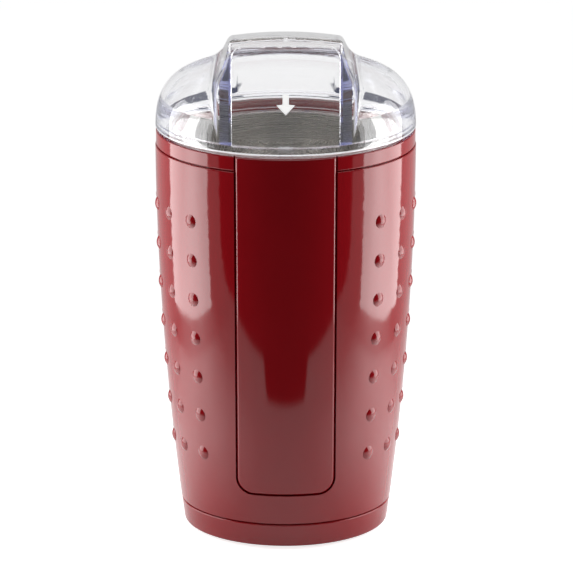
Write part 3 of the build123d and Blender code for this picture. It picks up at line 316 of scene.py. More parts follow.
dress(bronze, "bearing_bushes")
dress(brass, "brush_holders")
dress(copper, "commutator")
dress(graphite, "carbon_brushes")
dress(ground_steel, "motor_shaft")
dress(spring_wire, "brush_springs", "rod_spring")
dress(black_rubber, "motor_mounts", "bowl_pad")

# ==== switch, push rod and wiring =====================================================
# The lid's tab pushes a nylon rod, which closes a microswitch on the carrier's front tongue.
# Behind the motor sit the terminal block and a suppression capacitor, joined by PVC leads.
# Nylon glows a little from inside, and phenolic resin is dark and mottled.
white_nylon = finish("moulded_white_nylon", "dcd9d0", "e9e6de", 6, (0.35, 0.5), grain=0.8,
                     relief=0.006, Subsurface_Weight=0.1, Subsurface_Scale=0.001)
phenolic = finish("moulded_phenolic", "1d1a19", "2c2725", 4, (0.3, 0.45), grain=0.5, relief=0.008)
film_yellow = finish("potted_film_capacitor", "c79a24", "d9ad35", 6, (0.25, 0.35), grain=0.8,
                     relief=0.004)
pvc_sleeve = finish("extruded_pvc_sleeve", "cfccc4", "dedbd3", 5, (0.35, 0.5), grain=0.6,
                    relief=0.004)
dress(white_nylon, "push_rod", "switch_plunger", "terminal_block")
dress(phenolic, "switch_body")
dress(film_yellow, "capacitor")
dress(pvc_sleeve, "inner_leads")

# ==== grinding bowl and blade =========================================================
# The bowl is drawn from thin stainless sheet and brushed on a lathe, so its marks run round
# the axis. The blade is stainless strip, ground lengthwise and clamped by a domed nut.
BRUSH_LINE = 0.22          # coarser than real brushing, so that the marks show
BRUSH_DEPTH = 0.004


def lathe_brushed(name, low, high):
    """Stainless steel brushed round Z: noise that only changes with radius and height."""
    material = finish(name, low, high, 14, (0.2, 0.3), Metallic=1.0)
    tree = material.node_tree
    shader = tree.nodes["Principled BSDF"]
    where = add_node(tree, "ShaderNodeTexCoord").outputs["Object"]
    flat = add_node(tree, "ShaderNodeVectorMath", {"operation": "MULTIPLY"}, _0=where, _1=(1, 1, 0))
    radius = add_node(tree, "ShaderNodeVectorMath", {"operation": "LENGTH"},
                      _0=flat.outputs["Vector"])
    height = add_node(tree, "ShaderNodeSeparateXYZ", Vector=where).outputs["Z"]
    turned = add_node(tree, "ShaderNodeCombineXYZ", X=radius.outputs["Value"], Z=height)
    marks = add_node(tree, "ShaderNodeTexNoise", Vector=turned.outputs[0],
                     Scale=1 / (BRUSH_LINE * MM), Detail=4.0)
    sheen = add_node(tree, "ShaderNodeMapRange", Value=marks.outputs["Fac"], _1=0.3, _2=0.7,
                     _3=0.16, _4=0.34)
    tree.links.new(sheen.outputs[0], shader.inputs["Roughness"])
    bump = add_node(tree, "ShaderNodeBump", Strength=1.0, Distance=BRUSH_DEPTH * MM,
                    Height=marks.outputs["Fac"])
    tree.links.new(bump.outputs["Normal"], shader.inputs["Normal"])
    return material


drawn_steel = lathe_brushed("drawn_stainless_steel", "b9b6b1", "cfccc8")
blade_steel = finish("ground_blade_steel", "b4b4b3", "d0d0cf", 6, (0.18, 0.3), grain=0.2,
                     relief=0.004, along=(0.06, 1, 1), Metallic=1.0)
grey_rubber = finish("moulded_grey_silicone", "7b7b7a", "8c8c8a", 5, (0.4, 0.55), grain=0.5,
                     relief=0.01)
dress(drawn_steel, "grinding_bowl")
dress(blade_steel, "blade")
dress(grey_rubber, "bowl_seal", "shaft_seal")

# ==== lid =============================================================================
# One clear SAN moulding: a low dome that fits on the collar, and a hollow thumb block that
# rises from its front and slopes back into it. The wall behind the block's face is thinner
# in an opening with round upper corners, and a skirt drops into the collar's mouth.
LID_FOOT = 150.3           # lower edge, above the rim at rest
LID_RADIUS = 47.3
LID_WALL = 2.2
THIN_SHARE = 0.6           # of that wall, in the block's roof and flanks
DOME_HEIGHT = 23.3         # above the rim
DOME_SIDE, DOME_CROWN = 5.56, 2.53         # exponents of the dome's profile
BLOCK_TOP = RIM_Z + 44.1
BLOCK_CROWN = 1.5
BLOCK_TOP_HALF, BLOCK_FOOT_HALF = 20.3, 25.5
FLANK_FOOT = RIM_Z + 21.5
FLANK_RADIUS = 27.5
FLANK_SLOPE = radians(5.0)
ROOF_SLOPE = radians(10.8)
BEND_END = radians(45.0)
BEND_Y, BEND_RADIUS = 4.0, 45.0
BLOCK_LEAN = 2.1           # front face leans back by this much
BLOCK_BACK = 33.0
BLOCK_ROUND, HOLLOW_ROUND = 1.5, 1.2       # edges outside and inside
JUNCTION, HOLLOW_JUNCTION = 3.0, 2.0       # reach of the fillets between block and dome
JUNCTION_FADE, JUNCTION_LEAST = 8, 0.02    # they grow over 8 mm behind the front face
FOOT_THICK = 2.0
SKIRT_OUTER, SKIRT_INNER, SKIRT_FOOT = 43.2, 41.4, 146.4
TAB_HALF, TAB_INNER, TAB_OUTER, TAB_FOOT = 2.6, 38.6, 42.8, 144.3
LID_EDGE = 0.3             # rounding of the foot's edges and the tab's
OPENING_HALF, OPENING_TOP, OPENING_CORNER, OPENING_DROP = 18.8, 189.7, 4.5, 1.3
STEP = 1.3                 # the wall is thicker by this much outside the opening
BISECTIONS = 26
RAY_REACH = 80.0           # further than any face of the lid from its centre


def dome_side(p, inset):
    """Distance outside the dome: (F - 1) over F's slope, with F = (r/R)^a + (h/H)^b."""
    radius, height = LID_RADIUS - inset, DOME_HEIGHT - inset
    r = np.hypot(p[..., 0], p[..., 1]) / radius
    h = np.maximum(p[..., 2] - RIM_Z, 0) / height
    slope = np.hypot(DOME_SIDE / radius * r**(DOME_SIDE - 1),
                     DOME_CROWN / height * h**(DOME_CROWN - 1))
    return (r**DOME_SIDE + h**DOME_CROWN - 1) / np.maximum(slope, 1e-3)


def flank_side(p, inset):
    """Distance outside the block's flanks: |x| minus a half width that grows downwards.

    The half width follows a hollow arc and then a round one, tangent to it, down to the foot;
    the whole profile slides down towards the rear along a plane.
    """
    corner = BLOCK_TOP - BLOCK_CROWN
    turn = 2 * atan((BLOCK_FOOT_HALF - BLOCK_TOP_HALF) / (corner - FLANK_FOOT))
    bend = FLANK_RADIUS * sin(turn)
    lower_radius = (corner - FLANK_FOOT - bend) / sin(turn)
    drop = corner - p[..., 2] - (p[..., 1] + LID_RADIUS - BLOCK_LEAN) * tan(FLANK_SLOPE)
    upper = np.clip(drop, 0, bend)
    lower = np.clip(corner - FLANK_FOOT - drop, 0, corner - FLANK_FOOT - bend)
    half_upper = BLOCK_TOP_HALF + FLANK_RADIUS - np.sqrt(FLANK_RADIUS**2 - upper**2)
    half_lower = BLOCK_FOOT_HALF - lower_radius + np.sqrt(lower_radius**2 - lower**2)
    above = drop < bend
    slope = np.where(above, upper / np.sqrt(FLANK_RADIUS**2 - upper**2),
                     lower / np.sqrt(lower_radius**2 - lower**2))
    half = np.where(above, half_upper, half_lower)
    return (np.abs(p[..., 0]) - half) / np.sqrt(1 + slope**2) + THIN_SHARE * inset


def roof_side(p, inset):
    """Distance outside the block's roof: an arc across, along a slope, a bend and a steep run."""
    z_bend = BLOCK_TOP - (BEND_Y + LID_RADIUS - BLOCK_LEAN) * tan(ROOF_SLOPE)
    y = p[..., 1] - BEND_Y + BEND_RADIUS * sin(ROOF_SLOPE)
    z = p[..., 2] - z_bend + BEND_RADIUS * cos(ROOF_SLOPE)
    turn = np.clip(np.arctan2(y, z), ROOF_SLOPE, BEND_END)
    height = y * np.sin(turn) + z * np.cos(turn) - BEND_RADIUS
    crown = (BLOCK_TOP_HALF**2 + BLOCK_CROWN**2) / (2 * BLOCK_CROWN)
    return np.hypot(p[..., 0], height + crown) - crown + THIN_SHARE * inset


def front_side(p, inset):
    """Distance outside the block's front: a cone round the axis that leans back."""
    lean = BLOCK_LEAN * np.clip((p[..., 2] - RIM_Z) / (BLOCK_TOP - RIM_Z), 0, 1)
    return np.hypot(p[..., 0], p[..., 1]) - LID_RADIUS + lean + inset


def lid_body(p, inset, edge, junction):
    """Distance outside dome and block together.

    The block's sides meet over a round edge: the root of the summed squares of what lies
    within that radius. A smooth minimum joins block and dome; it fades out at the front face.
    """
    sides = [side(p, inset) + edge for side in (flank_side, roof_side, front_side)]
    outer = np.sqrt(sum(np.maximum(side, 0)**2 for side in sides))
    block = outer - edge + np.minimum(np.maximum.reduce(sides), 0)
    block = np.maximum(block, p[..., 1] - BLOCK_BACK + inset)
    dome = dome_side(p, inset)
    reach = junction * np.clip((edge - sides[2]) / JUNCTION_FADE, JUNCTION_LEAST, 1)
    near = np.maximum(reach - np.abs(dome - block), 0) / reach
    return np.minimum(dome, block) - 0.25 * reach * near**2


def lid_outside(p):
    """Distance outside the lid's outer face."""
    return lid_body(p, 0.0, BLOCK_ROUND, JUNCTION)


def opening_side(p):
    """Distance outside the opening in the front wall's inner face: a box with round corners.

    Its top falls with the square of x, as the roof does.
    """
    top = OPENING_TOP - OPENING_DROP * (p[..., 0] / OPENING_HALF)**2
    aside = np.abs(p[..., 0]) - OPENING_HALF + OPENING_CORNER
    above = p[..., 2] - top + OPENING_CORNER
    corner = np.hypot(np.maximum(aside, 0), np.maximum(above, 0))
    return corner - OPENING_CORNER + np.minimum(np.maximum(aside, above), 0)


def lid_hollow(p):
    """Distance outside the hollow: the body a wall further in, with a step round the opening."""
    thicker = np.minimum(opening_side(p), front_side(p, LID_WALL + STEP))
    return np.maximum(lid_body(p, LID_WALL, HOLLOW_ROUND, HOLLOW_JUNCTION), thicker)


def on_rays(field, azimuth, elevation):
    """Where rays from the lid's centre leave a field, found by halving the range over and over."""
    azimuth, elevation = np.broadcast_arrays(azimuth, elevation)
    flat = np.cos(elevation)
    ray = np.stack([np.sin(azimuth) * flat, -np.cos(azimuth) * flat, np.sin(elevation)], -1)
    centre = np.array([0, 0, LID_FOOT])
    near, far = np.zeros(azimuth.shape), np.full(azimuth.shape, RAY_REACH)
    for _ in range(BISECTIONS):
        middle = 0.5 * (near + far)
        outside = field(centre + ray * middle[..., None]) > 0
        far, near = np.where(outside, middle, far), np.where(outside, near, middle)
    return centre + ray * far[..., None]


def steepest(field, points, step=0.02):
    """Unit direction in which a field grows, by differences on each axis."""
    axes = np.eye(3) * step
    slope = np.stack([field(points + axis) - field(points - axis) for axis in axes], -1)
    return slope / np.linalg.norm(slope, axis=-1, keepdims=True)


def meridians(field, azimuth, low, rows, steps=500, bend_weight=9.0):
    """Grid from the foot to the crown, its rows gathered where each meridian turns.

    Each meridian is walked finely, its length and its turning angle are summed, bend_weight mm
    for each radian, and the rows are laid at equal shares of that sum.
    """
    share = np.linspace(0, 1, steps)
    walk = on_rays(field, azimuth, low + (0.5 * pi - low) * share[:, None])
    leg = np.diff(walk, axis=0)
    weight = np.linalg.norm(leg, axis=-1)
    heading = leg / weight[..., None]
    turn = np.arccos(np.clip(np.sum(heading[1:] * heading[:-1], -1), -1, 1))
    weight[1:] += bend_weight * turn
    summed = np.vstack([np.zeros(azimuth.size), np.cumsum(weight, 0)])
    wanted = np.linspace(0, 1, rows)
    chosen = np.stack([np.interp(wanted * line[-1], line, share) for line in summed.T], -1)
    points = on_rays(field, azimuth, low + (0.5 * pi - low) * chosen)
    return points, steepest(field, points)


def lid_azimuths():
    """Angles from the front, closer together at the block's edges and at its rear corners.

    Each stop is an angle in degrees, and how many columns lie from it to the next stop.
    """
    stops = [(0, 13), (20.8, 12), (24.4, 28), (28.6, 12), (33.4, 43), (119.4, 25), (149.4, 14),
             (180, 1)]
    runs = [np.linspace(start, end, count, endpoint=False)
            for (start, count), (end, _) in zip(stops, stops[1:])]
    half = np.concatenate([*runs, [180.0]])
    return np.radians(np.concatenate([half, -half[-2:0:-1]]))


def ring(azimuth, radius, z):
    """Circle of points at the given azimuths; the radius may change round it."""
    return np.stack([radius * np.sin(azimuth), -radius * np.cos(azimuth), z + 0 * azimuth], -1)


def turned_corners(corners, rounding, azimuth):
    """Rings of a turned profile whose corners are rounded, with their normals.

    Each corner (r, z) becomes three rings on a small arc: its start, middle and end. Normals
    point to the right of the walk, and the middle one lies halfway between its neighbours.
    """
    corners = np.array(corners, float)
    heading = np.diff(corners, axis=0)
    heading /= np.linalg.norm(heading, axis=-1, keepdims=True)
    points, normals = [], []
    for corner, before, after in zip(corners[1:-1], heading, heading[1:]):
        start, end = corner - before * rounding, corner + after * rounding
        middle = 0.25 * (start + end) + 0.5 * corner
        for place, way in ((start, before), (middle, (before + after) / sqrt(2)), (end, after)):
            points.append(ring(azimuth, place[0], place[1]))
            normals.append(ring(azimuth, way[1], -way[0]))
    return points, normals


def clear_lid_surface(azimuth, outer_rows=140, inner_rows=150):
    """The lid as one closed grid, with its normals.

    Rows run from the hollow's crown down its inner face, round the foot and the skirt, over
    the lower edge and up the outer face to the crown.
    """
    edge = LID_EDGE
    foot_z = LID_FOOT + FOOT_THICK
    outer_foot = on_level(lid_outside, azimuth, LID_FOOT + edge)
    outer, outer_normals = meridians(lid_outside, azimuth, np.arctan2(edge, outer_foot), outer_rows)
    inner_start = on_level(lid_hollow, azimuth, foot_z + edge)
    low = np.arctan2(FOOT_THICK + edge, inner_start)
    inner, inner_normals = meridians(lid_hollow, azimuth, low, inner_rows)
    profile = [(SKIRT_INNER + 1, foot_z), (SKIRT_INNER, foot_z), (SKIRT_INNER, SKIRT_FOOT),
               (SKIRT_OUTER, SKIRT_FOOT), (SKIRT_OUTER, LID_FOOT), (SKIRT_OUTER + 1, LID_FOOT)]
    foot, foot_normals = turned_corners(profile, edge, azimuth)
    points = [*inner[::-1], ring(azimuth, inner_start - edge, foot_z), *foot,
              ring(azimuth, outer_foot - edge, LID_FOOT),
              ring(azimuth, outer_foot - 0.3 * edge, LID_FOOT + 0.3 * edge), *outer]
    up, down, slanted = ring(azimuth, 0, 1), ring(azimuth, 0, -1), ring(azimuth, 0.7, -0.7)
    normals = [*-inner_normals[::-1], up, *foot_normals, down, slanted, *outer_normals]
    return np.array(points), np.array(normals)


def on_level(field, azimuth, z):
    """Radius at which horizontal rays at a height leave a field."""
    near, far = np.zeros(azimuth.shape), np.full(azimuth.shape, RAY_REACH)
    for _ in range(BISECTIONS):
        middle = 0.5 * (near + far)
        outside = field(ring(azimuth, middle, z)) > 0
        far, near = np.where(outside, middle, far), np.where(outside, near, middle)
    return far


def wrapped_mesh(name, points, normals, material):
    """Mesh of a grid that closes round its columns, with one point at each end row.

    Rows run down the first axis. The first and last rows shrink to single points, the rest
    are joined by quads, and the given normals are kept for shading.
    """
    rows, columns = points.shape[:2]
    body = points[1:-1].reshape(-1, 3)
    every = np.concatenate([points[:1, 0], body, points[-1:, 0]]) * MM
    shading = np.concatenate([normals[:1, 0], normals[1:-1].reshape(-1, 3), normals[-1:, 0]])
    across = np.arange(columns)
    after = (across + 1) % columns
    line = 1 + np.arange(rows - 3)[:, None] * columns
    below = line + columns
    quads = np.stack([line + across, line + after, below + after, below + across], -1)
    last = 1 + (rows - 3) * columns
    tip = len(every) - 1
    fans = [(0, 1 + b, 1 + a) for a, b in zip(across, after)]
    fans += [(tip, last + a, last + b) for a, b in zip(across, after)]
    mesh = bpy.data.meshes.new(name)
    mesh.from_pydata(every.tolist(), [], quads.reshape(-1, 4).tolist() + fans)
    mesh.shade_smooth()
    mesh.normals_split_custom_set_from_vertices(shading.tolist())
    mesh.materials.append(material)
    piece = bpy.data.objects.new(name, mesh)
    bpy.context.scene.collection.objects.link(piece)
    return piece


def clear_san(name, roughness, tone, density, rub=14, flow=9, waviness=0.02):
    """Clear styrene-acrylonitrile: polished, and bluer the thicker it is.

    Handling dulls it in patches of rub mm, and its moulded faces wave a little over flow mm.
    Lamps and the light between the parts pass straight through it.
    """
    material = bpy.data.materials.new(name)
    material.use_nodes = True
    tree = material.node_tree
    shader = tree.nodes["Principled BSDF"]
    shader.inputs["Base Color"].default_value = (1, 1, 1, 1)
    shader.inputs["IOR"].default_value = 1.57
    shader.inputs["Transmission Weight"].default_value = 1.0
    where = add_node(tree, "ShaderNodeTexCoord").outputs["Object"]
    patches = add_node(tree, "ShaderNodeTexNoise", Vector=where, Scale=1 / (rub * MM), Detail=5.0)
    sheen = add_node(tree, "ShaderNodeMapRange", Value=patches.outputs["Fac"], _1=0.3, _2=0.7,
                     _3=roughness[0], _4=roughness[1])
    tree.links.new(sheen.outputs[0], shader.inputs["Roughness"])
    waves = add_node(tree, "ShaderNodeTexNoise", Vector=where, Scale=1 / (flow * MM), Detail=2.0)
    bump = add_node(tree, "ShaderNodeBump", Strength=1.0, Distance=waviness * MM,
                    Height=waves.outputs["Fac"])
    tree.links.new(bump.outputs["Normal"], shader.inputs["Normal"])
    path = add_node(tree, "ShaderNodeLightPath")
    through = add_node(tree, "ShaderNodeBsdfTransparent", Color=(0.95, 0.955, 0.97, 1))
    shade = add_node(tree, "ShaderNodeMath", {"operation": "MAXIMUM"},
                     _0=path.outputs["Is Shadow Ray"], _1=path.outputs["Is Diffuse Ray"])
    mixed = add_node(tree, "ShaderNodeMixShader", _0=shade.outputs[0], _1=shader.outputs[0],
                     _2=through.outputs[0])
    output = tree.nodes["Material Output"]
    tree.links.new(mixed.outputs[0], output.inputs["Surface"])
    tint = add_node(tree, "ShaderNodeVolumeAbsorption", Color=colour(tone), Density=density)
    tree.links.new(tint.outputs[0], output.inputs["Volume"])
    return material


# Thin walls of it show only as edges, reflections and a faint grey-blue cast.
san = clear_san("polished_clear_san", (0.003, 0.008), "b4b7d6", 14.0)
lid_points, lid_normals = clear_lid_surface(lid_azimuths())
lid = wrapped_mesh("clear_lid", lid_points, lid_normals, san)
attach(lid, "lid")
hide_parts("lid")

# ==== lid ribs ========================================================================
# Two ribs behind the block's front wall, one on each side of its opening, part of the same
# SAN moulding. Their absorption is thirty times the lid's: a painted deep blue that stands in for
# light running along inside them, so that they look far bluer than the thin walls.
RIB_INNER, RIB_OUTER, RIB_BACK = OPENING_HALF, 22.8, -33.0
RIB_FOOT, RIB_TOP = LID_FOOT + FOOT_THICK + 0.1, 187.5
RIB_CLEAR = 0.06           # keeps the ribs' faces off the walls'


def rib_surface(side, rises=70, across=9):
    """Front and back sheets of (s, t): s runs up the rib, and t outwards across it.

    The outer face is upright as far up as the flank's inner face, and then follows that. The
    front sheet lies on the wall's inner face, and the back one is flat.
    """
    z = np.linspace(RIB_FOOT, RIB_TOP, rises)
    near, far = np.full(rises, RIB_INNER), np.full(rises, RIB_OUTER)
    for _ in range(BISECTIONS):
        middle = 0.5 * (near + far)
        place = np.stack([middle, np.full(rises, RIB_BACK), z], -1)
        outside = flank_side(place, LID_WALL) > -RIB_CLEAR
        far, near = np.where(outside, middle, far), np.where(outside, near, middle)
    x = side * (RIB_INNER + (near - RIB_INNER)[:, None] * np.linspace(0, 1, across))
    z = z[:, None] + 0 * x
    lean = BLOCK_LEAN * (z - RIM_Z) / (BLOCK_TOP - RIM_Z)
    front = -np.sqrt((LID_RADIUS - LID_WALL - STEP - lean - RIB_CLEAR)**2 - x**2)
    return [np.stack([x, y, z], -1)[:, ::side] for y in (front, np.full(x.shape, RIB_BACK))]


# painted shade: density 430 against the lid's 14 makes the ribs bluer than their thickness gives
rib_san_painted_blue = clear_san("clear_san_painted_deep_blue", (0.004, 0.012), "8a90cc", 430.0)
for side, name in ((-1, "lid_rib_left"), (1, "lid_rib_right")):
    rib = closed_pair(name, rib_surface(side), rib_san_painted_blue)
    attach(rib, "lid")

# ==== lid tab =========================================================================
# The plate on the skirt's inner face that reaches through the collar and presses the switch's
# rod, moulded with the lid. Its edges are rounded for the tool.
TAB_HEAD = LID_FOOT + 1.7
TAB_CLEAR = 0.12           # keeps the tab's faces off the skirt's


def tab_section():
    """The tab's outline in (y, z): a plate inside the skirt with a step below the skirt's foot."""
    inside, under = TAB_CLEAR - SKIRT_INNER, SKIRT_FOOT - TAB_CLEAR
    return np.array([(-TAB_INNER, TAB_FOOT), (-TAB_INNER, TAB_HEAD), (inside, TAB_HEAD),
                     (inside, under), (-TAB_OUTER, under), (-TAB_OUTER, TAB_FOOT)])


section = tab_section()
left, right = (np.column_stack([np.full(len(section), x), section]) for x in (-TAB_HALF, TAB_HALF))
near_side = np.arange(len(section))
far_side, following = near_side + len(section), np.roll(near_side, -1)
walls = np.column_stack([near_side, following, following + len(section), far_side])
tab_mesh = bpy.data.meshes.new("lid_tab")
tab_mesh.from_pydata((np.concatenate([left, right]) * MM).tolist(), [],
                     [near_side[::-1].tolist(), far_side.tolist(), *walls.tolist()])
tab_mesh.materials.append(san)
tab = bpy.data.objects.new("lid_tab", tab_mesh)
bpy.context.scene.collection.objects.link(tab)
rounding = tab.modifiers.new("moulded edges", "BEVEL")
rounding.width, rounding.segments = LID_EDGE * MM, 3
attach(tab, "lid")

# ==== press mark ======================================================================
# A white arrow, pad printed on the front of the thumb block: press here. The ink is a thin
# matt film with slightly uneven cover.
ARROW_TOP, ARROW_FOOT = 172.6, 165.2
ARROW_HEAD, ARROW_HEAD_HALF, ARROW_SHAFT_HALF = 169.0, 3.5, 1.1
ARROW_BARB, ARROW_POINT_HALF = 0.25, 0.15
INK = 0.02                 # the film's thickness, and its clearance from the wall


def arrow_surface(columns=13, rows=20):
    """Sheet of (u, v) on the block's front: v runs down, u across an arrow's width at v.

    The width is the shaft's as far as the head, widens to the head's over the barb and then
    falls to a blunt point.
    """
    head = np.linspace(ARROW_HEAD - ARROW_BARB, ARROW_FOOT, rows)
    down = np.concatenate([np.linspace(ARROW_TOP, ARROW_HEAD, rows), head])
    taper = ARROW_HEAD_HALF * (head - ARROW_FOOT) / (ARROW_HEAD - ARROW_FOOT)
    half = np.maximum(np.concatenate([np.full(rows, ARROW_SHAFT_HALF), taper]), ARROW_POINT_HALF)
    x = half[:, None] * np.linspace(-1, 1, columns)
    z = down[:, None] + 0 * x
    radius = LID_RADIUS - BLOCK_LEAN * (z - RIM_Z) / (BLOCK_TOP - RIM_Z)
    return [np.stack([x, -np.sqrt((radius + lift)**2 - x**2), z], -1)[::-1]
            for lift in (2 * INK, INK)]


# the ink glows with an emission of 0.6, painted light that stands in for light through the lid
white_ink_painted_glow = finish("pad_printed_white_ink_painted_glow", "f1f1ee", "ffffff", 2, (0.45, 0.6), grain=0.25,
                   relief=0.004, Emission_Color=(1, 1, 1, 1), Emission_Strength=0.6)
arrow = closed_pair("press_arrow", arrow_surface(), white_ink_painted_glow)
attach(arrow, "lid")

# ==== floor and backdrop ==============================================================
# A plain pale sweep. Lenses see it white, with the object's shadow kept. Its reflections carry
# painted light: gloss sees it lit as far as a line before the object, with a painted bright pool
# on each side, and painted dark beyond. Two painted dark patches lie on it far behind, which
# only rays that have passed through the lid see. Places here are in metres.
FLOOR_HALF = 3.0
# the paper's tone, then two painted darks: one for reflections past the edge, one for patches seen
# through the lid
PAPER, PAINTED_DARK_REFLECTION, PAINTED_DARK_PATCH_TONE = (0.8, 0.8, 0.8, 1), (0.01, 0.01, 0.01, 1), "2b3350"
TO_LENS, TO_GLOSS, THROUGH_LID = 0.8, 0.4, 1.02            # glow the paper adds for each; for gloss it is painted light
EDGE_NEAR, EDGE_FAR = -0.154, -0.198                       # edge of the painted dark reflection, in the middle and aside
NOTCH_FROM, NOTCH_TO = 0.04, 0.073                         # between them, from the middle
TURN_FROM, TURN_TO, TURN_DEPTH = 0.3, 1.3, -0.5            # and far aside it runs forward
POOL_FROM, POOL_TO, POOL_GAIN = 0.04, 0.11, 1.25           # painted pool of light for gloss, from the middle outwards
POOL_FRONT, POOL_REAR = (-0.13, -0.05), (0.0, 0.09)        # where it begins and ends
DARK_PATCH_FRONT, DARK_PATCH_REAR, DARK_PATCH_INNER = (0.598, 0.612), (0.76, 0.79), (0.036, 0.039)


def stage_sheet(name, corners, material):
    """One flat rectangle of the set."""
    mesh = bpy.data.meshes.new(name)
    mesh.from_pydata(corners, [], [(0, 1, 2, 3)])
    mesh.materials.append(material)
    sheet = bpy.data.objects.new(name, mesh)
    bpy.context.scene.collection.objects.link(sheet)
    return sheet


def paper():
    """Matt white paper, topped up to white for the camera, straight or through the lid. Gloss sees
    it with painted light and painted dark, and the lid shows painted dark patches on it.
    """
    material = bpy.data.materials.new("white_paper")
    material.use_nodes = True
    tree = material.node_tree
    shader = tree.nodes["Principled BSDF"]
    shader.inputs["Roughness"].default_value = 1.0
    shader.inputs["Specular IOR Level"].default_value = 0.0
    path = add_node(tree, "ShaderNodeLightPath")
    glossy_ray = path.outputs["Is Glossy Ray"]
    where = add_node(tree, "ShaderNodeTexCoord").outputs["Object"]
    place = add_node(tree, "ShaderNodeSeparateXYZ", Vector=where)
    aside = add_node(tree, "ShaderNodeMath", {"operation": "ABSOLUTE"},
                     _0=place.outputs["X"]).outputs[0]
    # edge of the painted dark reflection, nearer in the middle and further out at the far sides
    notch = add_node(tree, "ShaderNodeMapRange", {"interpolation_type": "SMOOTHSTEP"},
                     Value=aside, _1=NOTCH_FROM, _2=NOTCH_TO, _3=EDGE_NEAR, _4=EDGE_FAR)
    turn = add_node(tree, "ShaderNodeMapRange", Value=aside, _1=TURN_FROM, _2=TURN_TO,
                    _3=0.0, _4=TURN_DEPTH)
    edge = add_node(tree, "ShaderNodeMath", {"operation": "ADD"}, _0=notch.outputs[0],
                    _1=turn.outputs[0])
    past = add_node(tree, "ShaderNodeMath", {"operation": "SUBTRACT"}, _0=place.outputs["Y"],
                    _1=edge.outputs[0])
    # painted dark reflection: past the edge the paper turns dark, for rays from gloss only
    painted_dark_reflection_mask = add_node(tree, "ShaderNodeMapRange", Value=past.outputs[0], _1=0.004, _2=-0.006,
                      _3=0.0, _4=0.97)
    dark = add_node(tree, "ShaderNodeMath", {"operation": "MULTIPLY"}, _0=painted_dark_reflection_mask.outputs[0],
                    _1=glossy_ray)
    tone = add_node(tree, "ShaderNodeMix", {"data_type": "RGBA"}, Factor=dark.outputs[0],
                    _6=PAPER, _7=PAINTED_DARK_REFLECTION)
    tree.links.new(tone.outputs[2], shader.inputs["Base Color"])
    # painted dark patches, seen only through the lid, as a product of three ramps
    front = add_node(tree, "ShaderNodeMapRange", Value=place.outputs["Y"], _1=DARK_PATCH_FRONT[0],
                     _2=DARK_PATCH_FRONT[1], _3=0.0, _4=1.0)
    rear = add_node(tree, "ShaderNodeMapRange", Value=place.outputs["Y"], _1=DARK_PATCH_REAR[0],
                    _2=DARK_PATCH_REAR[1], _3=1.0, _4=0.0)
    inner = add_node(tree, "ShaderNodeMapRange", Value=aside, _1=DARK_PATCH_INNER[0],
                     _2=DARK_PATCH_INNER[1], _3=0.0, _4=1.0)
    length = add_node(tree, "ShaderNodeMath", {"operation": "MULTIPLY"}, _0=front.outputs[0],
                      _1=rear.outputs[0])
    dark_patch = add_node(tree, "ShaderNodeMath", {"operation": "MULTIPLY"}, _0=length.outputs[0],
                    _1=inner.outputs[0])
    dark_patch_tone = add_node(tree, "ShaderNodeMix", {"data_type": "RGBA"}, Factor=dark_patch.outputs[0],
                     _6=(1, 1, 1, 1), _7=colour(PAINTED_DARK_PATCH_TONE))
    # painted light: between object and softboxes, gloss sees the paper glow brighter
    outwards = add_node(tree, "ShaderNodeMapRange", Value=aside, _1=POOL_FROM, _2=POOL_TO,
                        _3=0.0, _4=POOL_GAIN)
    begins = add_node(tree, "ShaderNodeMapRange", Value=place.outputs["Y"], _1=POOL_FRONT[0],
                      _2=POOL_FRONT[1], _3=0.0, _4=1.0)
    ends = add_node(tree, "ShaderNodeMapRange", Value=place.outputs["Y"], _1=POOL_REAR[0],
                    _2=POOL_REAR[1], _3=1.0, _4=0.0)
    pool = add_node(tree, "ShaderNodeMath", {"operation": "MULTIPLY"}, _0=begins.outputs[0],
                    _1=ends.outputs[0])
    painted_gloss_light = add_node(tree, "ShaderNodeMath", {"operation": "MULTIPLY_ADD"},
                     _0=outwards.outputs[0], _1=pool.outputs[0], _2=TO_GLOSS)
    lit_part = add_node(tree, "ShaderNodeMath", {"operation": "SUBTRACT"}, _0=1.0,
                        _1=painted_dark_reflection_mask.outputs[0])
    glossy = add_node(tree, "ShaderNodeMath", {"operation": "MULTIPLY"}, _0=painted_gloss_light.outputs[0],
                      _1=glossy_ray)
    glossy_lit = add_node(tree, "ShaderNodeMath", {"operation": "MULTIPLY"},
                          _0=glossy.outputs[0], _1=lit_part.outputs[0])
    seen = add_node(tree, "ShaderNodeMath", {"operation": "MULTIPLY_ADD"},
                    _0=path.outputs["Is Camera Ray"], _1=TO_LENS, _2=glossy_lit.outputs[0])
    glow = add_node(tree, "ShaderNodeEmission", Color=(1, 1, 1, 1), Strength=seen.outputs[0])
    glow_through = add_node(tree, "ShaderNodeEmission", Color=dark_patch_tone.outputs[2],
                            Strength=THROUGH_LID)
    both = add_node(tree, "ShaderNodeAddShader", _0=shader.outputs[0], _1=glow.outputs[0])
    chosen = add_node(tree, "ShaderNodeMixShader", _0=path.outputs["Is Transmission Ray"],
                      _1=both.outputs[0], _2=glow_through.outputs[0])
    tree.links.new(chosen.outputs[0], tree.nodes["Material Output"].inputs["Surface"])
    return material


stage_sheet("floor", [(-FLOOR_HALF, -FLOOR_HALF, 0), (FLOOR_HALF, -FLOOR_HALF, 0),
                      (FLOOR_HALF, FLOOR_HALF, 0), (-FLOOR_HALF, FLOOR_HALF, 0)], paper())

# ==== lamps and world =================================================================
# Two softboxes stand at the sides. Gloss sees the room dim in front, paler behind and bright
# overhead, and the camera sees it white.
BOX_X, BOX_FRONT, BOX_REAR, BOX_FOOT, BOX_HEAD = 215, -94, 97, 17, 272
BOX_RADIANCE = 4.0
ROOM, ROOM_FRONT, ROOM_BEHIND, ROOM_OVERHEAD = 0.25, 0.03, 0.45, 2.5


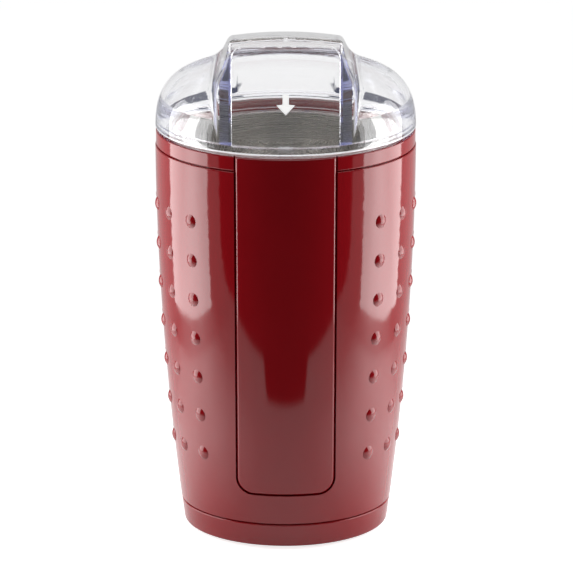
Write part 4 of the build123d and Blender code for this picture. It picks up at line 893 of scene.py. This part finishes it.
def softbox(name, place, target, width, height, radiance):
    """Rectangular lamp at a place in mm, aimed at a target, with a given radiance."""
    lamp = bpy.data.lights.new(name, "AREA")
    lamp.shape = "RECTANGLE"
    lamp.size, lamp.size_y = width * MM, height * MM
    lamp.energy = radiance * pi * lamp.size * lamp.size_y
    holder = bpy.data.objects.new(name, lamp)
    bpy.context.scene.collection.objects.link(holder)
    holder.location = Vector(place) * MM
    holder.rotation_euler = (Vector(target) - Vector(place)).to_track_quat("-Z", "Y").to_euler()
    holder.visible_camera = False
    return holder


for side in (-1, 1):
    middle_y, middle_z = 0.5 * (BOX_FRONT + BOX_REAR), 0.5 * (BOX_FOOT + BOX_HEAD)
    softbox("side_box", (side * BOX_X, middle_y, middle_z), (0, middle_y, middle_z),
            BOX_REAR - BOX_FRONT, BOX_HEAD - BOX_FOOT, BOX_RADIANCE)

world = bpy.data.worlds.new("studio")
bpy.context.scene.world = world
world.use_nodes = True
sky = world.node_tree
path = add_node(sky, "ShaderNodeLightPath")
direction = add_node(sky, "ShaderNodeTexCoord").outputs["Generated"]
way = add_node(sky, "ShaderNodeSeparateXYZ", Vector=direction)
behind = add_node(sky, "ShaderNodeMapRange", Value=way.outputs["Y"], _1=-0.1, _2=0.3,
                  _3=ROOM_FRONT, _4=ROOM_BEHIND)
overhead = add_node(sky, "ShaderNodeMapRange", Value=way.outputs["Z"], _1=0.75, _2=0.9,
                    _3=0.0, _4=ROOM_OVERHEAD)
gloss = add_node(sky, "ShaderNodeMath", {"operation": "MAXIMUM"}, _0=behind.outputs[0],
                 _1=overhead.outputs[0])
plain = add_node(sky, "ShaderNodeMix", {"data_type": "FLOAT"},
                 _0=path.outputs["Is Glossy Ray"], _2=ROOM, _3=gloss.outputs[0])
shown = add_node(sky, "ShaderNodeMix", {"data_type": "FLOAT"}, _0=path.outputs["Is Camera Ray"],
                 _2=plain.outputs[0], _3=1.0)
through = add_node(sky, "ShaderNodeMix", {"data_type": "FLOAT"},
                   _0=path.outputs["Is Transmission Ray"], _2=shown.outputs[0], _3=THROUGH_LID)
sky.links.new(through.outputs[0], sky.nodes["Background"].inputs["Strength"])
sky.nodes["Background"].inputs["Color"].default_value = (1, 1, 1, 1)

# ==== camera ==========================================================================
# Long lens from the front, looking down on the rim.
CAMERA_PLACE, CAMERA_AIM = Vector((0, -1763, 590.0)), Vector((0.29, 0, 89.1))
LENS, SENSOR, SIGHT = 314.26, 36, 20
BOUNCES = 32               # light runs a long way inside the lid's walls before it leaves them
camera_data = bpy.data.cameras.new("camera")
camera_data.lens, camera_data.sensor_width, camera_data.clip_end = LENS, SENSOR, SIGHT
camera = bpy.data.objects.new("camera", camera_data)
bpy.context.scene.collection.objects.link(camera)
camera.location = CAMERA_PLACE * MM
camera.rotation_euler = (CAMERA_AIM - CAMERA_PLACE).to_track_quat("-Z", "Y").to_euler()
bpy.context.scene.camera = camera
bpy.context.scene.view_settings.view_transform = "Standard"
cycles = bpy.context.scene.cycles
cycles.max_bounces = cycles.glossy_bounces = cycles.transmission_bounces = BOUNCES
